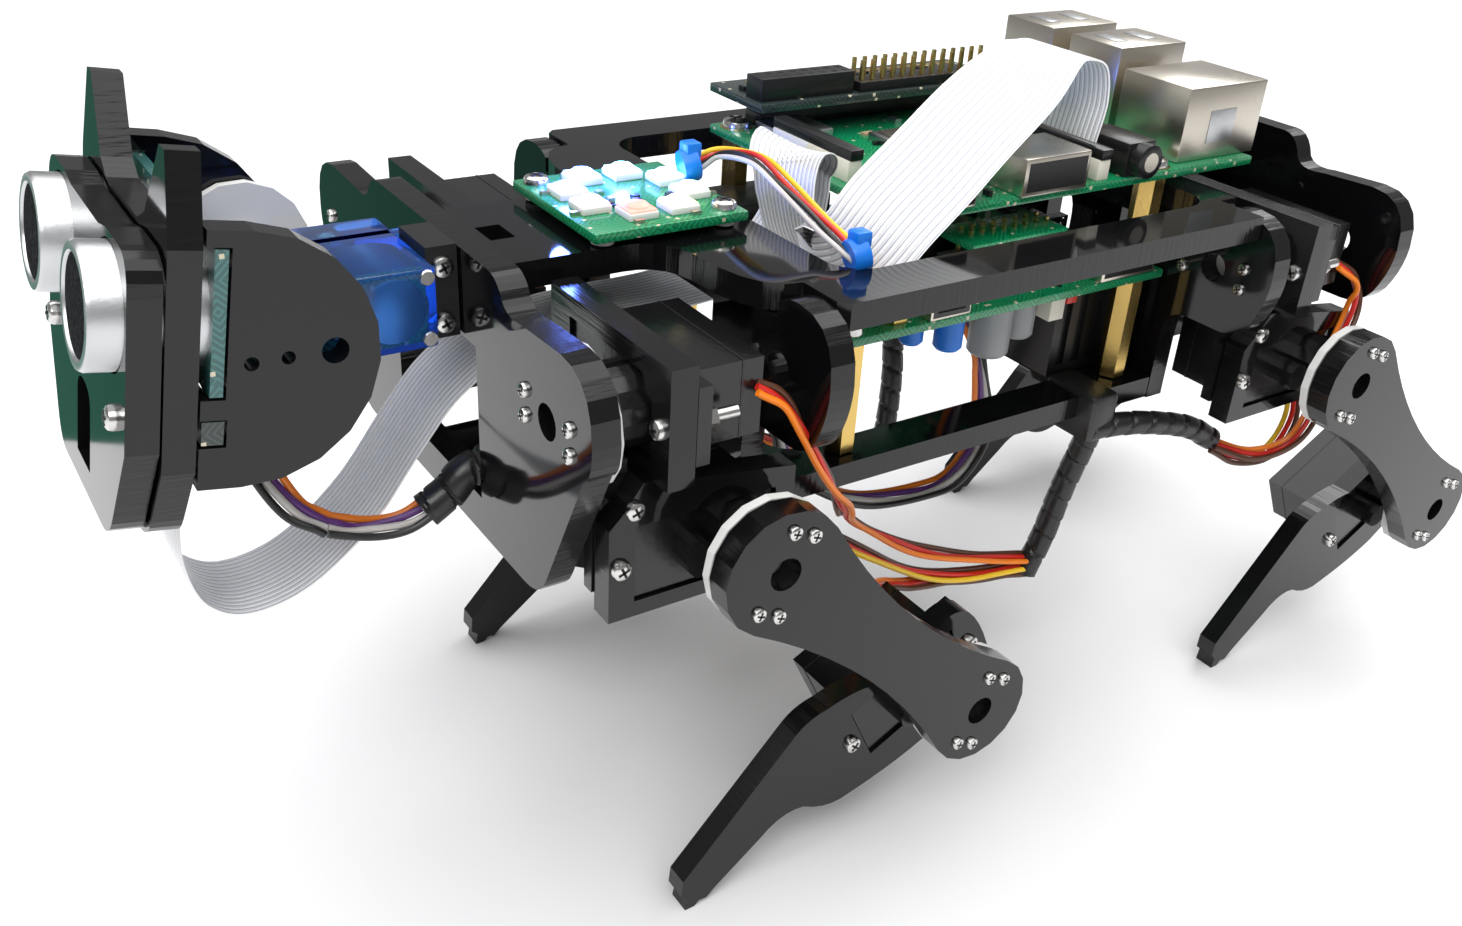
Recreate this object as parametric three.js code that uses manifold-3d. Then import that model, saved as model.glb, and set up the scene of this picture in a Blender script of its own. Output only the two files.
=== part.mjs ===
// A small four-legged walking robot: a body of slotted acrylic plates, twelve leg servos,
// a nodding head and the electronics stacked on the body. Millimetres, +Z up, +X to the
// head, +Y to the robot's left. The origin is under the middle of the robot, on the floor.
import * as THREE from 'three';
import { mergeVertices } from 'three/addons/utils/BufferGeometryUtils.js';
import Module from 'manifold-3d';

const wasm = await Module();
wasm.setup();

// ---- driving dimensions -------------------------------------------------------------
const PLATE = 4.2;                   // thickness of every acrylic plate
const GAP = 0.3;                     // clearance between neighbouring solids
const CURVE_STEPS = 5;               // segments in each bend of an outline
const ROUND_SIDES = 16;              // sides of a turned part

const HIP_X = 66.5;                  // pitch axes, ahead of and behind the middle
const HIP_Z = 74;
const ROLL_Y = 38;                   // roll axes
const ROLL_Z = 95.4;
const THIGH_LENGTH = 61.2;
const DISC_RADIUS = 10;              // ends of the thigh and the servo horns
const WAIST = 6;                     // half width of the thigh's waist
const STANCE = {                     // degrees: thigh back from vertical, shin below level
  front: { thigh: 46.4, shin: 27.2 },
  rear: { thigh: 48.7, shin: 29.3 },
};
const BRACKET_Y = 45;                // outer face of the hip bracket and the shin
const THIGH_Y = 57.2;                // outer face of the thigh
const TEE_X = 81.2;                  // front face of the front bracket's cross plate
const AXLE_HOLE = 2.65;              // hole over each servo spindle

const FRONT_PLATE_X = 89.2;          // back faces of the four upright plates
const FRONT_BULKHEAD_X = 52.2;
const REAR_BULKHEAD_X = -43.8;
const REAR_PLATE_X = -80.8;
const BASE_Z = 65.5;                 // bottom edge of the upright plates
const SHOULDER_Z = 106.9;
const LOBE_Y = 50.5;                 // widest point of the upright plates
const KEEL_Y = 30;                   // half width of their lower part
const TOP_Z = 103.2;                 // underside of the top plate
const BOTTOM_Z = 65.8;               // underside of the bottom plate
const NECK_Y = 12.8;                 // half width of the top plate's neck
const DECK_Y = 36.5;                 // half width of the top plate in the bulkheads
const TOP_RAIL_Y = 46;
const BOTTOM_NECK_Y = 12;

const SERVO = { width: 11.8, shaft: 5.9, length: 22.8, flangeEnd: 4.7 };
const LEG_SERVO = { bottom: -17.9, flange: -6.7, flangeTop: -4.5, top: -0.6, boss: 4 };
const HEAD_SERVO = { bottom: -26.5, flange: -12, flangeTop: -9.8, top: -4, boss: 3 };
const SPINDLE = { radius: 2.3, top: 6 };
const HORN = { hub: 4.4, bottom: 6.2, top: 7.7, bore: 6.9, hubRadius: 3.4, boreRadius: 2.7 };

const SHIELD_Z = 90;                 // underside of the power and servo board
const SHIELD = { front: 38, back: -39, halfWidth: 28 };
const COMPUTER_Z = 109.4;            // underside of the computer board
const COMPUTER = { front: 27.3, left: 27.9, length: 85, width: 56 };
const BOARD = 1.6;                   // thickness of every circuit board
const HOLE_ROWS = { front: 23.8, back: -34.2, y: 24.4 };

const PIVOT = { x: 115.5, z: 104 };  // nodding axis of the head
const HEAD_PITCH = 9.5;              // degrees up from level
const FACE_FRONT = 24.9;             // head dimensions from the nodding axis
const FACE_THICK = 4;
const FACE_Y = 23;
const CHEEK_RADIUS = 17;
const CHEEK = { x: 10.9, z: -1.5, inner: 19 };
const EYE = { y: 14, z: 3, radius: 8, front: 28.9, sides: 24 };
const SONAR = { back: 13.6, bottom: -5.9, top: 13.1, halfWidth: 22.75 };
const HOLDER = { back: 13.3, front: 16, bottom: -12.4, top: -9.2 };

const RIBBON = { width: 16, thickness: 0.5, steps: 72 };
const LEAD = { radius: 2, steps: 56, sides: 8 };

// ---- materials ----------------------------------------------------------------------
const finish = (color, roughness, metalness) =>
  () => new THREE.MeshStandardMaterial({ color, roughness, metalness });
const acrylic = finish(0x0b0b0d, 0.15, 0);
const blackPlastic = finish(0x141416, 0.4, 0);
const hornPlastic = finish(0xd9d9d6, 0.45, 0);
const bluePlastic = finish(0x1230c8, 0.15, 0);
const greenBoard = finish(0x0c6b3c, 0.35, 0);
const blackBoard = finish(0x17191a, 0.35, 0);
const silver = finish(0xc9ccd0, 0.25, 1);
const ribbonPlastic = finish(0xdfe3e8, 0.4, 0);
const leadPlastic = finish(0x1a1a1a, 0.5, 0);

// ---- solids -------------------------------------------------------------------------
function toSolid(geometry) {
  const bare = geometry.index ? geometry.clone() : mergeVertices(geometry);
  bare.deleteAttribute('normal');
  bare.deleteAttribute('uv');
  const merged = mergeVertices(bare, 1e-4);
  const corners = merged.index.array;
  const kept = [];
  for (let i = 0; i < corners.length; i += 3) {
    const [a, b, c] = [corners[i], corners[i + 1], corners[i + 2]];
    if (a !== b && b !== c && c !== a) kept.push(a, b, c);
  }
  const mesh = new wasm.Mesh({
    numProp: 3,
    vertProperties: new Float32Array(merged.attributes.position.array),
    triVerts: new Uint32Array(kept),
  });
  return new wasm.Manifold(mesh);
}

function toGeometry(solid) {
  const mesh = solid.getMesh();
  const geometry = new THREE.BufferGeometry();
  geometry.setAttribute('position', new THREE.BufferAttribute(mesh.vertProperties, 3));
  geometry.setIndex(new THREE.BufferAttribute(mesh.triVerts, 1));
  geometry.computeVertexNormals();
  return geometry;
}

function join(...geometries) {
  return toGeometry(geometries.map(toSolid).reduce((sum, solid) => sum.add(solid)));
}

function cut(geometry, ...tools) {
  return toGeometry(tools.map(toSolid).reduce((rest, tool) => rest.subtract(tool), toSolid(geometry)));
}

function block(x0, x1, y0, y1, z0, z1) {
  const geometry = new THREE.BoxGeometry(Math.abs(x1 - x0), Math.abs(y1 - y0), Math.abs(z1 - z0));
  return geometry.translate((x0 + x1) / 2, (y0 + y1) / 2, (z0 + z1) / 2);
}

// A rod along one axis, between two places on it; a and b are its other two coordinates.
function rod(axis, a, b, radius, from, to, sides = ROUND_SIDES) {
  const geometry = new THREE.CylinderGeometry(radius, radius, Math.abs(to - from), sides);
  const middle = (from + to) / 2;
  if (axis === 'x') return geometry.rotateZ(-Math.PI / 2).translate(middle, a, b);
  if (axis === 'y') return geometry.translate(a, middle, b);
  return geometry.rotateX(Math.PI / 2).translate(a, b, middle);
}

// The outline may run either way round.
function extrude(shape, depth) {
  const { shape: points, holes } = shape.extractPoints(CURVE_STEPS);
  if (THREE.ShapeUtils.isClockWise(points)) points.reverse();
  const flat = new THREE.Shape(points);
  flat.holes = holes.map((hole) => new THREE.Path(hole));
  return new THREE.ExtrudeGeometry(flat, { depth, bevelEnabled: false });
}

// Upright plate across the robot: the outline is drawn in Y and Z.
function acrossPlate(shape, back, thickness = PLATE) {
  const turn = new THREE.Matrix4().makeBasis(
    new THREE.Vector3(0, 1, 0), new THREE.Vector3(0, 0, 1), new THREE.Vector3(1, 0, 0));
  return extrude(shape, thickness).applyMatrix4(turn).translate(back, 0, 0);
}

// Upright plate along the robot: the outline is drawn in X and Z, between two Y places.
function alongPlate(shape, y0, y1) {
  const turn = new THREE.Matrix4().makeBasis(
    new THREE.Vector3(1, 0, 0), new THREE.Vector3(0, 0, 1), new THREE.Vector3(0, -1, 0));
  return extrude(shape, Math.abs(y1 - y0)).applyMatrix4(turn).translate(0, Math.max(y0, y1), 0);
}

function flatPlate(shape, bottom, thickness = PLATE) {
  return extrude(shape, thickness).translate(0, 0, bottom);
}

function outline(points) {
  return new THREE.Shape(points.map(([u, v]) => new THREE.Vector2(u, v)));
}

// Mirrors one half of an outline; its edges run straight across the centre line.
function mirrored(half) {
  const points = half.getPoints(CURVE_STEPS).filter((p) => p.x > 0);
  const other = points.map((p) => new THREE.Vector2(-p.x, p.y)).reverse();
  return new THREE.Shape([...points, ...other]);
}

function roundHole(x, y, radius, sides = ROUND_SIDES) {
  const points = Array.from({ length: sides }, (_, i) => (2 * Math.PI * i) / sides).map((angle) =>
    new THREE.Vector2(x + radius * Math.cos(angle), y + radius * Math.sin(angle)));
  return new THREE.Path(points);
}

function squareHole(x0, x1, y0, y1) {
  return new THREE.Path([
    new THREE.Vector2(x0, y0), new THREE.Vector2(x0, y1),
    new THREE.Vector2(x1, y1), new THREE.Vector2(x1, y0)]);
}

// ---- servo and horn -----------------------------------------------------------------
// The spindle is +Z, the case runs along +X, and zero is the face that the servo shows
// through its mounting plate.
function servoShape({ bottom, flange, flangeTop, top, boss }) {
  const half = SERVO.width / 2;
  const far = SERVO.length - SERVO.shaft;
  const gearBoss = { x: 8.3, radius: 2.6 };
  return join(
    block(-SERVO.shaft, far, -half, half, bottom, top),
    block(-SERVO.shaft - SERVO.flangeEnd, far + SERVO.flangeEnd, -half, half, flange, flangeTop),
    rod('z', 0, 0, half, top - 1, boss),
    rod('z', gearBoss.x, 0, gearBoss.radius, top - 1, boss, 12),
    rod('z', 0, 0, SPINDLE.radius, boss - 1, SPINDLE.top + boss - LEG_SERVO.boss, 12));
}

function hornShape() {
  const profile = [
    [0, HORN.bore], [HORN.boreRadius, HORN.bore], [HORN.boreRadius, HORN.hub],
    [HORN.hubRadius, HORN.hub], [HORN.hubRadius, HORN.bottom], [DISC_RADIUS, HORN.bottom],
    [DISC_RADIUS, HORN.top], [0, HORN.top]];
  const points = profile.map(([radius, height]) => new THREE.Vector2(radius, height));
  return toGeometry(toSolid(new THREE.LatheGeometry(points, ROUND_SIDES).rotateX(Math.PI / 2)));
}

// Turns a part whose spindle is +Z and whose case runs along +X.
function aimed(geometry, spindle, caseWay, origin) {
  const turn = new THREE.Matrix4().makeBasis(
    caseWay, new THREE.Vector3().crossVectors(spindle, caseWay), spindle);
  return geometry.applyMatrix4(turn).translate(...origin);
}

function named(parent, name, geometry, material) {
  const mesh = new THREE.Mesh(geometry, material());
  mesh.name = name;
  parent.add(mesh);
}

// ---- legs ---------------------------------------------------------------------------
function teeShape(side) {
  const edge = 48.9;
  const inner = 15;
  const top = 104.8;
  const foot = { low: 81, step: 86.8, inner: 38 };
  const shape = outline([
    [side * inner, foot.step], [side * foot.inner, foot.step], [side * foot.inner, foot.low],
    [side * BRACKET_Y, foot.low], [side * BRACKET_Y, foot.step], [side * edge, foot.step],
    [side * edge, top], [side * inner, top]]);
  const half = SERVO.width / 2 + GAP;
  const far = ROLL_Y - SERVO.length + SERVO.shaft - GAP;
  shape.holes.push(squareHole(side * far, side * (ROLL_Y + half), ROLL_Z - half, ROLL_Z + half));
  return shape;
}

function sidePlateShape() {
  const shape = outline([
    [57, 65.3], [87.8, 65.3], [87.8, 80.5], [85.8, 82.5], [82.6, 86.8], [77, 86.8],
    [75.5, 85.7], [57, 83]]);
  const half = SERVO.width / 2 + GAP;
  const back = HIP_X - SERVO.shaft - GAP;
  shape.holes.push(squareHole(back, back + SERVO.length + 2 * GAP, HIP_Z - half, HIP_Z + half));
  return shape;
}

function bracket(side) {
  const cross = acrossPlate(teeShape(side), TEE_X - PLATE);
  const plate = alongPlate(sidePlateShape(), side * BRACKET_Y, side * (BRACKET_Y - PLATE));
  return join(cross, plate);
}

// Two discs joined by a waist whose sides are arcs that touch both discs.
function thighShape() {
  const middle = THIGH_LENGTH / 2;
  const bend = (middle ** 2 + WAIST ** 2 - DISC_RADIUS ** 2) / (2 * (DISC_RADIUS - WAIST));
  const rise = WAIST + bend;
  const touch = Math.atan2(rise, middle);
  const shape = new THREE.Shape();
  shape.absarc(0, 0, DISC_RADIUS, touch, 2 * Math.PI - touch, false);
  shape.absarc(middle, -rise, bend, Math.PI - touch, touch, true);
  shape.absarc(THIGH_LENGTH, 0, DISC_RADIUS, Math.PI + touch, 3 * Math.PI - touch, false);
  shape.absarc(middle, rise, bend, -touch, touch - Math.PI, true);
  shape.holes.push(roundHole(0, 0, AXLE_HOLE));
  shape.holes.push(roundHole(THIGH_LENGTH, 0, AXLE_HOLE));
  return shape;
}

function shinShape() {
  const shape = new THREE.Shape();
  shape.moveTo(-11.5, -8);
  shape.quadraticCurveTo(-12.6, 2, -10.6, 6.6);
  shape.quadraticCurveTo(-9, 9.5, -5.5, 9.5);
  shape.lineTo(11.9, 9);
  shape.quadraticCurveTo(16, 11.2, 20.6, 11.8);
  shape.quadraticCurveTo(24.2, 13, 27.4, 11.9);
  shape.lineTo(56.5, 1.2);
  shape.lineTo(58.2, -1.5);
  shape.lineTo(57.6, -3.2);
  shape.lineTo(59.1, -5.2);
  shape.lineTo(57.4, -6);
  shape.lineTo(56.2, -5.5);
  shape.lineTo(55, -6.4);
  shape.lineTo(52.7, -5.7);
  shape.lineTo(42, -3.7);
  shape.quadraticCurveTo(36, -1.9, 32.4, -5);
  shape.quadraticCurveTo(29, -10.4, 24.2, -11);
  shape.quadraticCurveTo(14, -13.4, 6.6, -13.4);
  shape.quadraticCurveTo(-4, -12.4, -11.5, -8);
  const half = SERVO.width / 2 + GAP;
  shape.holes.push(squareHole(-SERVO.shaft - GAP, SERVO.length - SERVO.shaft + GAP, -half, half));
  return shape;
}

function addLeg(body, end, side) {
  const key = (end === 'front' ? 'f' : 'r') + (side > 0 ? 'l' : 'r');
  const stance = STANCE[end];
  const outward = new THREE.Vector3(0, side, 0);
  const forward = new THREE.Vector3(1, 0, 0);
  const inward = new THREE.Vector3(0, -side, 0);
  const leg = new THREE.Group();
  leg.position.x = end === 'front' ? 0 : -2 * HIP_X;
  body.add(leg);

  const rollCentre = [TEE_X, side * ROLL_Y, ROLL_Z];
  const hipCentre = [HIP_X, side * BRACKET_Y, HIP_Z];
  named(leg, `hip_horn_${key}`, aimed(hornShape(), forward, inward, rollCentre), hornPlastic);
  named(leg, `hip_servo_${key}`, aimed(servoShape(LEG_SERVO), forward, inward, rollCentre), blackPlastic);
  named(leg, `hip_bracket_${key}`, bracket(side), acrylic);
  named(leg, `thigh_servo_${key}`, aimed(servoShape(LEG_SERVO), outward, forward, hipCentre), blackPlastic);

  const thigh = new THREE.Group();
  thigh.position.set(HIP_X, 0, HIP_Z);
  thigh.rotation.y = THREE.MathUtils.degToRad(90 + stance.thigh);
  leg.add(thigh);
  const hipEnd = [0, side * BRACKET_Y, 0];
  const kneeEnd = [THIGH_LENGTH, side * BRACKET_Y, 0];
  named(thigh, `thigh_horn_${key}`, aimed(hornShape(), outward, forward, hipEnd), hornPlastic);
  named(thigh, `thigh_plate_${key}`,
    alongPlate(thighShape(), side * THIGH_Y, side * (THIGH_Y - PLATE)), acrylic);
  named(thigh, `knee_horn_${key}`, aimed(hornShape(), outward, forward, kneeEnd), hornPlastic);

  const shin = new THREE.Group();
  shin.position.x = THIGH_LENGTH;
  shin.rotation.y = THREE.MathUtils.degToRad(stance.shin - 90 - stance.thigh);
  thigh.add(shin);
  named(shin, `knee_servo_${key}`, aimed(servoShape(LEG_SERVO), outward, forward, hipEnd), blackPlastic);
  named(shin, `shin_${key}`,
    alongPlate(shinShape(), side * BRACKET_Y, side * (BRACKET_Y - PLATE)), acrylic);
}

// ---- body plates --------------------------------------------------------------------
function lobe(half, waistZ) {
  half.quadraticCurveTo(LOBE_Y, SHOULDER_Z, LOBE_Y, 97);
  half.quadraticCurveTo(LOBE_Y, 92.5, 48.2, waistZ);
}

// The upright plates that stand at the very front and back, with a raised centre.
function endShape(top, tapered) {
  const half = new THREE.Path();
  half.moveTo(20.5, top);
  half.quadraticCurveTo(23.5, top, 25, 107.6);
  half.quadraticCurveTo(26.5, 105.6, 31, 106.4);
  half.lineTo(42, SHOULDER_Z);
  lobe(half, tapered ? 91.4 : 88);
  if (tapered) {
    half.lineTo(37, 69.7);
    half.quadraticCurveTo(35, BASE_Z, KEEL_Y, BASE_Z);
  } else {
    keel(half);
  }
  return mirrored(half);
}

function keel(half) {
  half.quadraticCurveTo(46, 84.5, 42, 84.5);
  half.lineTo(35, 84.5);
  half.quadraticCurveTo(KEEL_Y, 84.5, KEEL_Y, 79);
  half.lineTo(KEEL_Y, BASE_Z);
}

// The two inner upright plates: the top plate lies in their notch.
function bulkheadShape() {
  const half = new THREE.Path();
  half.moveTo(DECK_Y + GAP, TOP_Z - GAP);
  half.lineTo(DECK_Y + GAP, 105.4);
  half.quadraticCurveTo(38.6, SHOULDER_Z, 42, SHOULDER_Z);
  lobe(half, 88);
  keel(half);
  return mirrored(half);
}

function bottomNotch(back) {
  return block(back - 1, back + PLATE + 1, -BOTTOM_NECK_Y - GAP, BOTTOM_NECK_Y + GAP,
    BASE_Z - 1, BOTTOM_Z + PLATE + GAP);
}

function addUprights(body) {
  const window = { front: [15.5, 72, 97], bulkhead: [20, 74, 99.5] };
  const plates = [
    ['front_plate', endShape(110.5, true), FRONT_PLATE_X, window.front, false],
    ['front_bulkhead', bulkheadShape(), FRONT_BULKHEAD_X, window.bulkhead, true],
    ['rear_bulkhead', bulkheadShape(), REAR_BULKHEAD_X, window.bulkhead, true],
    ['rear_plate', endShape(112, false), REAR_PLATE_X, window.front, false],
  ];
  for (const [name, shape, back, [halfWidth, low, high], notched] of plates) {
    for (const side of [-1, 1]) shape.holes.push(roundHole(side * ROLL_Y, ROLL_Z, AXLE_HOLE));
    const tools = [block(back - 1, back + PLATE + 1, -halfWidth, halfWidth, low, high)];
    if (notched) tools.push(bottomNotch(back));
    named(body, name, cut(acrossPlate(shape, back), ...tools), acrylic);
  }
}

function topPlateShape() {
  const half = new THREE.Path();
  const front = FRONT_PLATE_X - GAP;
  const back = REAR_PLATE_X + PLATE + GAP;
  const railFront = FRONT_BULKHEAD_X - GAP;
  const railBack = REAR_BULKHEAD_X + PLATE + GAP;
  half.moveTo(NECK_Y, front);
  half.lineTo(NECK_Y, 68);
  half.quadraticCurveTo(NECK_Y, 61.5, 20, 60.5);
  half.quadraticCurveTo(DECK_Y, 60, DECK_Y, railFront);
  half.lineTo(TOP_RAIL_Y - 1.5, railFront);
  half.lineTo(TOP_RAIL_Y, railFront - 1.5);
  half.lineTo(TOP_RAIL_Y, railBack);
  half.lineTo(DECK_Y, railBack);
  half.lineTo(DECK_Y, REAR_BULKHEAD_X);
  half.lineTo(24, REAR_BULKHEAD_X);
  half.quadraticCurveTo(NECK_Y, REAR_BULKHEAD_X, NECK_Y, REAR_BULKHEAD_X - 5);
  half.lineTo(NECK_Y, back);
  return mirrored(half);
}

function roundedHole(x0, x1, y0, y1, radius) {
  const hole = new THREE.Path();
  hole.absarc(x0 + radius, y0 + radius, radius, -Math.PI / 2, Math.PI, true);
  hole.absarc(x0 + radius, y1 - radius, radius, Math.PI, Math.PI / 2, true);
  hole.absarc(x1 - radius, y1 - radius, radius, Math.PI / 2, 0, true);
  hole.absarc(x1 - radius, y0 + radius, radius, 0, -Math.PI / 2, true);
  return hole;
}

// A plate whose outline was drawn with its first axis across the robot.
function levelPlate(shape, bottom) {
  const turn = new THREE.Matrix4().makeBasis(
    new THREE.Vector3(0, -1, 0), new THREE.Vector3(1, 0, 0), new THREE.Vector3(0, 0, 1));
  return flatPlate(shape, 0).applyMatrix4(turn).translate(0, 0, bottom);
}

function addDecks(body) {
  const top = topPlateShape();
  top.holes.push(roundedHole(-DECK_Y, DECK_Y, -37.5, 44, 6));
  top.holes.push(squareHole(-3, 3, 81, 85));
  named(body, 'top_plate', levelPlate(top, TOP_Z), acrylic);

  const half = new THREE.Path();
  half.moveTo(BOTTOM_NECK_Y, FRONT_PLATE_X - GAP);
  half.lineTo(BOTTOM_NECK_Y, FRONT_BULKHEAD_X - GAP);
  half.lineTo(KEEL_Y, FRONT_BULKHEAD_X - GAP);
  half.lineTo(KEEL_Y, REAR_BULKHEAD_X + PLATE + GAP);
  half.lineTo(BOTTOM_NECK_Y, REAR_BULKHEAD_X + PLATE + GAP);
  half.lineTo(BOTTOM_NECK_Y, REAR_PLATE_X + PLATE + GAP);
  const bottom = mirrored(half);
  bottom.holes.push(roundedHole(-22, 22, -27, 43, 5));
  named(body, 'bottom_plate', levelPlate(bottom, BOTTOM_Z), acrylic);
}

// ---- electronics --------------------------------------------------------------------
function addShield(body) {
  const top = SHIELD_Z + BOARD;
  const pieces = [
    block(SHIELD.back, SHIELD.front, -SHIELD.halfWidth, SHIELD.halfWidth, SHIELD_Z, top)];
  const lowerPosts = [33, -33];
  const post = 2.6;
  for (const side of [-1, 1]) {
    for (const x of [HOLE_ROWS.front, HOLE_ROWS.back]) {
      pieces.push(rod('z', x, side * HOLE_ROWS.y, post, SHIELD_Z, COMPUTER_Z - GAP, 6));
    }
    for (const x of lowerPosts) {
      pieces.push(rod('z', x, side * (HOLE_ROWS.y + 0.8), post, BOTTOM_Z + PLATE + GAP, top, 6));
    }
  }
  named(body, 'shield_board', join(...pieces), greenBoard);
}

function addComputer(body) {
  const top = COMPUTER_Z + BOARD;
  // Each port by its distance from the board's front edge and left edge, and its height.
  const ports = [
    { from: 69.3, to: 87.5, left: 22.4, right: 35.6, height: 16 },
    { from: 69.3, to: 87.5, left: 40.4, right: 53.6, height: 16 },
    { from: 66.2, to: 87.5, left: 2.2, right: 18.2, height: 13.5 },
    { from: 24.5, to: 39.5, left: -1.2, right: 10.3, height: 6.5 },
    { from: 50, to: 57, left: -2.6, right: 11.5, height: 6 },
    { from: 43.8, to: 46.6, left: 0.6, right: 22.4, height: 5.4 },
    { from: 2.2, to: 5, left: 17, right: 39, height: 5.4 },
    { from: 7.1, to: 58, left: 50, right: 55, height: 5 },
  ];
  const sink = 0.8;
  const pieces = [block(COMPUTER.front - COMPUTER.length, COMPUTER.front,
    COMPUTER.left - COMPUTER.width, COMPUTER.left, COMPUTER_Z, top)];
  for (const port of ports) {
    pieces.push(block(COMPUTER.front - port.to, COMPUTER.front - port.from,
      COMPUTER.left - port.right, COMPUTER.left - port.left, top - sink, top + port.height));
  }
  named(body, 'computer_board', join(...pieces), greenBoard);
}

function addSmallBoards(body) {
  const adapter = { back: -31, front: 26.4, right: -30, left: -13, bottom: 116.4 };
  const socket = { back: 5.2, front: 25.6, right: -19.4, left: -14.4, top: 122 };
  const adapterTop = adapter.bottom + BOARD;
  named(body, 'header_board', join(
    block(adapter.back, adapter.front, adapter.right, adapter.left, adapter.bottom, adapterTop),
    block(socket.back, socket.front, socket.right, socket.left, adapter.bottom + 0.5, socket.top)),
  blackBoard);

  const led = { back: 46.5, front: 73.5, halfWidth: 14, bottom: 108.6, corner: 2 };
  const shape = new THREE.Shape();
  shape.absarc(led.front - led.corner, led.halfWidth - led.corner, led.corner, 0, Math.PI / 2);
  shape.absarc(led.back + led.corner, led.halfWidth - led.corner, led.corner, Math.PI / 2, Math.PI);
  shape.absarc(led.back + led.corner, led.corner - led.halfWidth, led.corner, Math.PI, 1.5 * Math.PI);
  shape.absarc(led.front - led.corner, led.corner - led.halfWidth, led.corner, 1.5 * Math.PI, 2 * Math.PI);
  const pieces = [flatPlate(shape, led.bottom, BOARD)];
  for (const [x, y] of [[49.3, 11], [49.3, -11], [70.7, 9], [70.7, -9]]) {
    pieces.push(rod('z', x, y, 1.8, TOP_Z + PLATE + GAP, led.bottom + 0.5, 10));
  }
  named(body, 'led_board', join(...pieces), greenBoard);
}

function addBatteryHolder(body) {
  const holder = { back: REAR_BULKHEAD_X + PLATE + GAP, front: -20, halfWidth: 21, top: 88.4 };
  const bottom = BOTTOM_Z + PLATE + GAP;
  const rib = { depth: 0.8, pitch: 4 };
  const tools = [];
  for (let x = holder.front - 2; x > holder.back + rib.pitch; x -= rib.pitch) {
    for (const side of [-1, 1]) {
      const face = side * holder.halfWidth;
      const groove = [face - side * rib.depth, face + side];
      tools.push(block(x - rib.pitch / 2, x, ...groove, bottom + 2, holder.top + 1));
    }
  }
  const box = block(holder.back, holder.front, -holder.halfWidth, holder.halfWidth, bottom, holder.top);
  named(body, 'battery_holder', cut(box, ...tools), blackPlastic);
}

// ---- head ---------------------------------------------------------------------------
function faceShape() {
  const half = new THREE.Path();
  half.moveTo(8, 11.4);
  half.lineTo(12, 12.2);
  half.lineTo(18.6, 12.2);
  half.quadraticCurveTo(FACE_Y, 12.2, FACE_Y, 7);
  half.lineTo(FACE_Y, -13);
  half.lineTo(17.5, -24);
  half.quadraticCurveTo(15.6, -28.5, 11.5, -28.5);
  return mirrored(half);
}

function earShape() {
  const half = new THREE.Path();
  half.moveTo(8.5, 12.4);
  half.lineTo(12, 14.2);
  half.lineTo(18, 24);
  half.lineTo(20.4, 24);
  half.lineTo(FACE_Y, 13);
  half.lineTo(FACE_Y, -16);
  half.lineTo(18.5, -24.9);
  half.quadraticCurveTo(16.6, -28.5, 12.5, -28.5);
  return mirrored(half);
}

function eyeAndMouthHoles(shape) {
  for (const side of [-1, 1]) {
    shape.holes.push(roundHole(side * EYE.y, EYE.z, EYE.radius + GAP, EYE.sides));
  }
  shape.holes.push(roundHole(0, -8.3, 2.6));
  const mouth = new THREE.Path();
  mouth.moveTo(-4, -24.5);
  mouth.lineTo(-4, -15.5);
  mouth.quadraticCurveTo(-4, -12.6, 0, -12.6);
  mouth.quadraticCurveTo(4, -12.6, 4, -15.5);
  mouth.lineTo(4, -24.5);
  shape.holes.push(mouth);
  return shape;
}

function cheekShape() {
  const front = FACE_FRONT - 2 * FACE_THICK - 2 * GAP;
  const shape = new THREE.Shape();
  shape.absarc(CHEEK.x, CHEEK.z, CHEEK_RADIUS, Math.PI / 2, 1.5 * Math.PI, false);
  shape.lineTo(front, CHEEK.z - CHEEK_RADIUS);
  shape.lineTo(front, CHEEK.z + CHEEK_RADIUS);
  shape.holes.push(roundHole(0, 0, 1.8));
  shape.holes.push(roundHole(5.9, -0.8, 0.9));
  shape.holes.push(roundHole(10.4, -1.5, 0.95));
  return shape;
}

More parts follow.
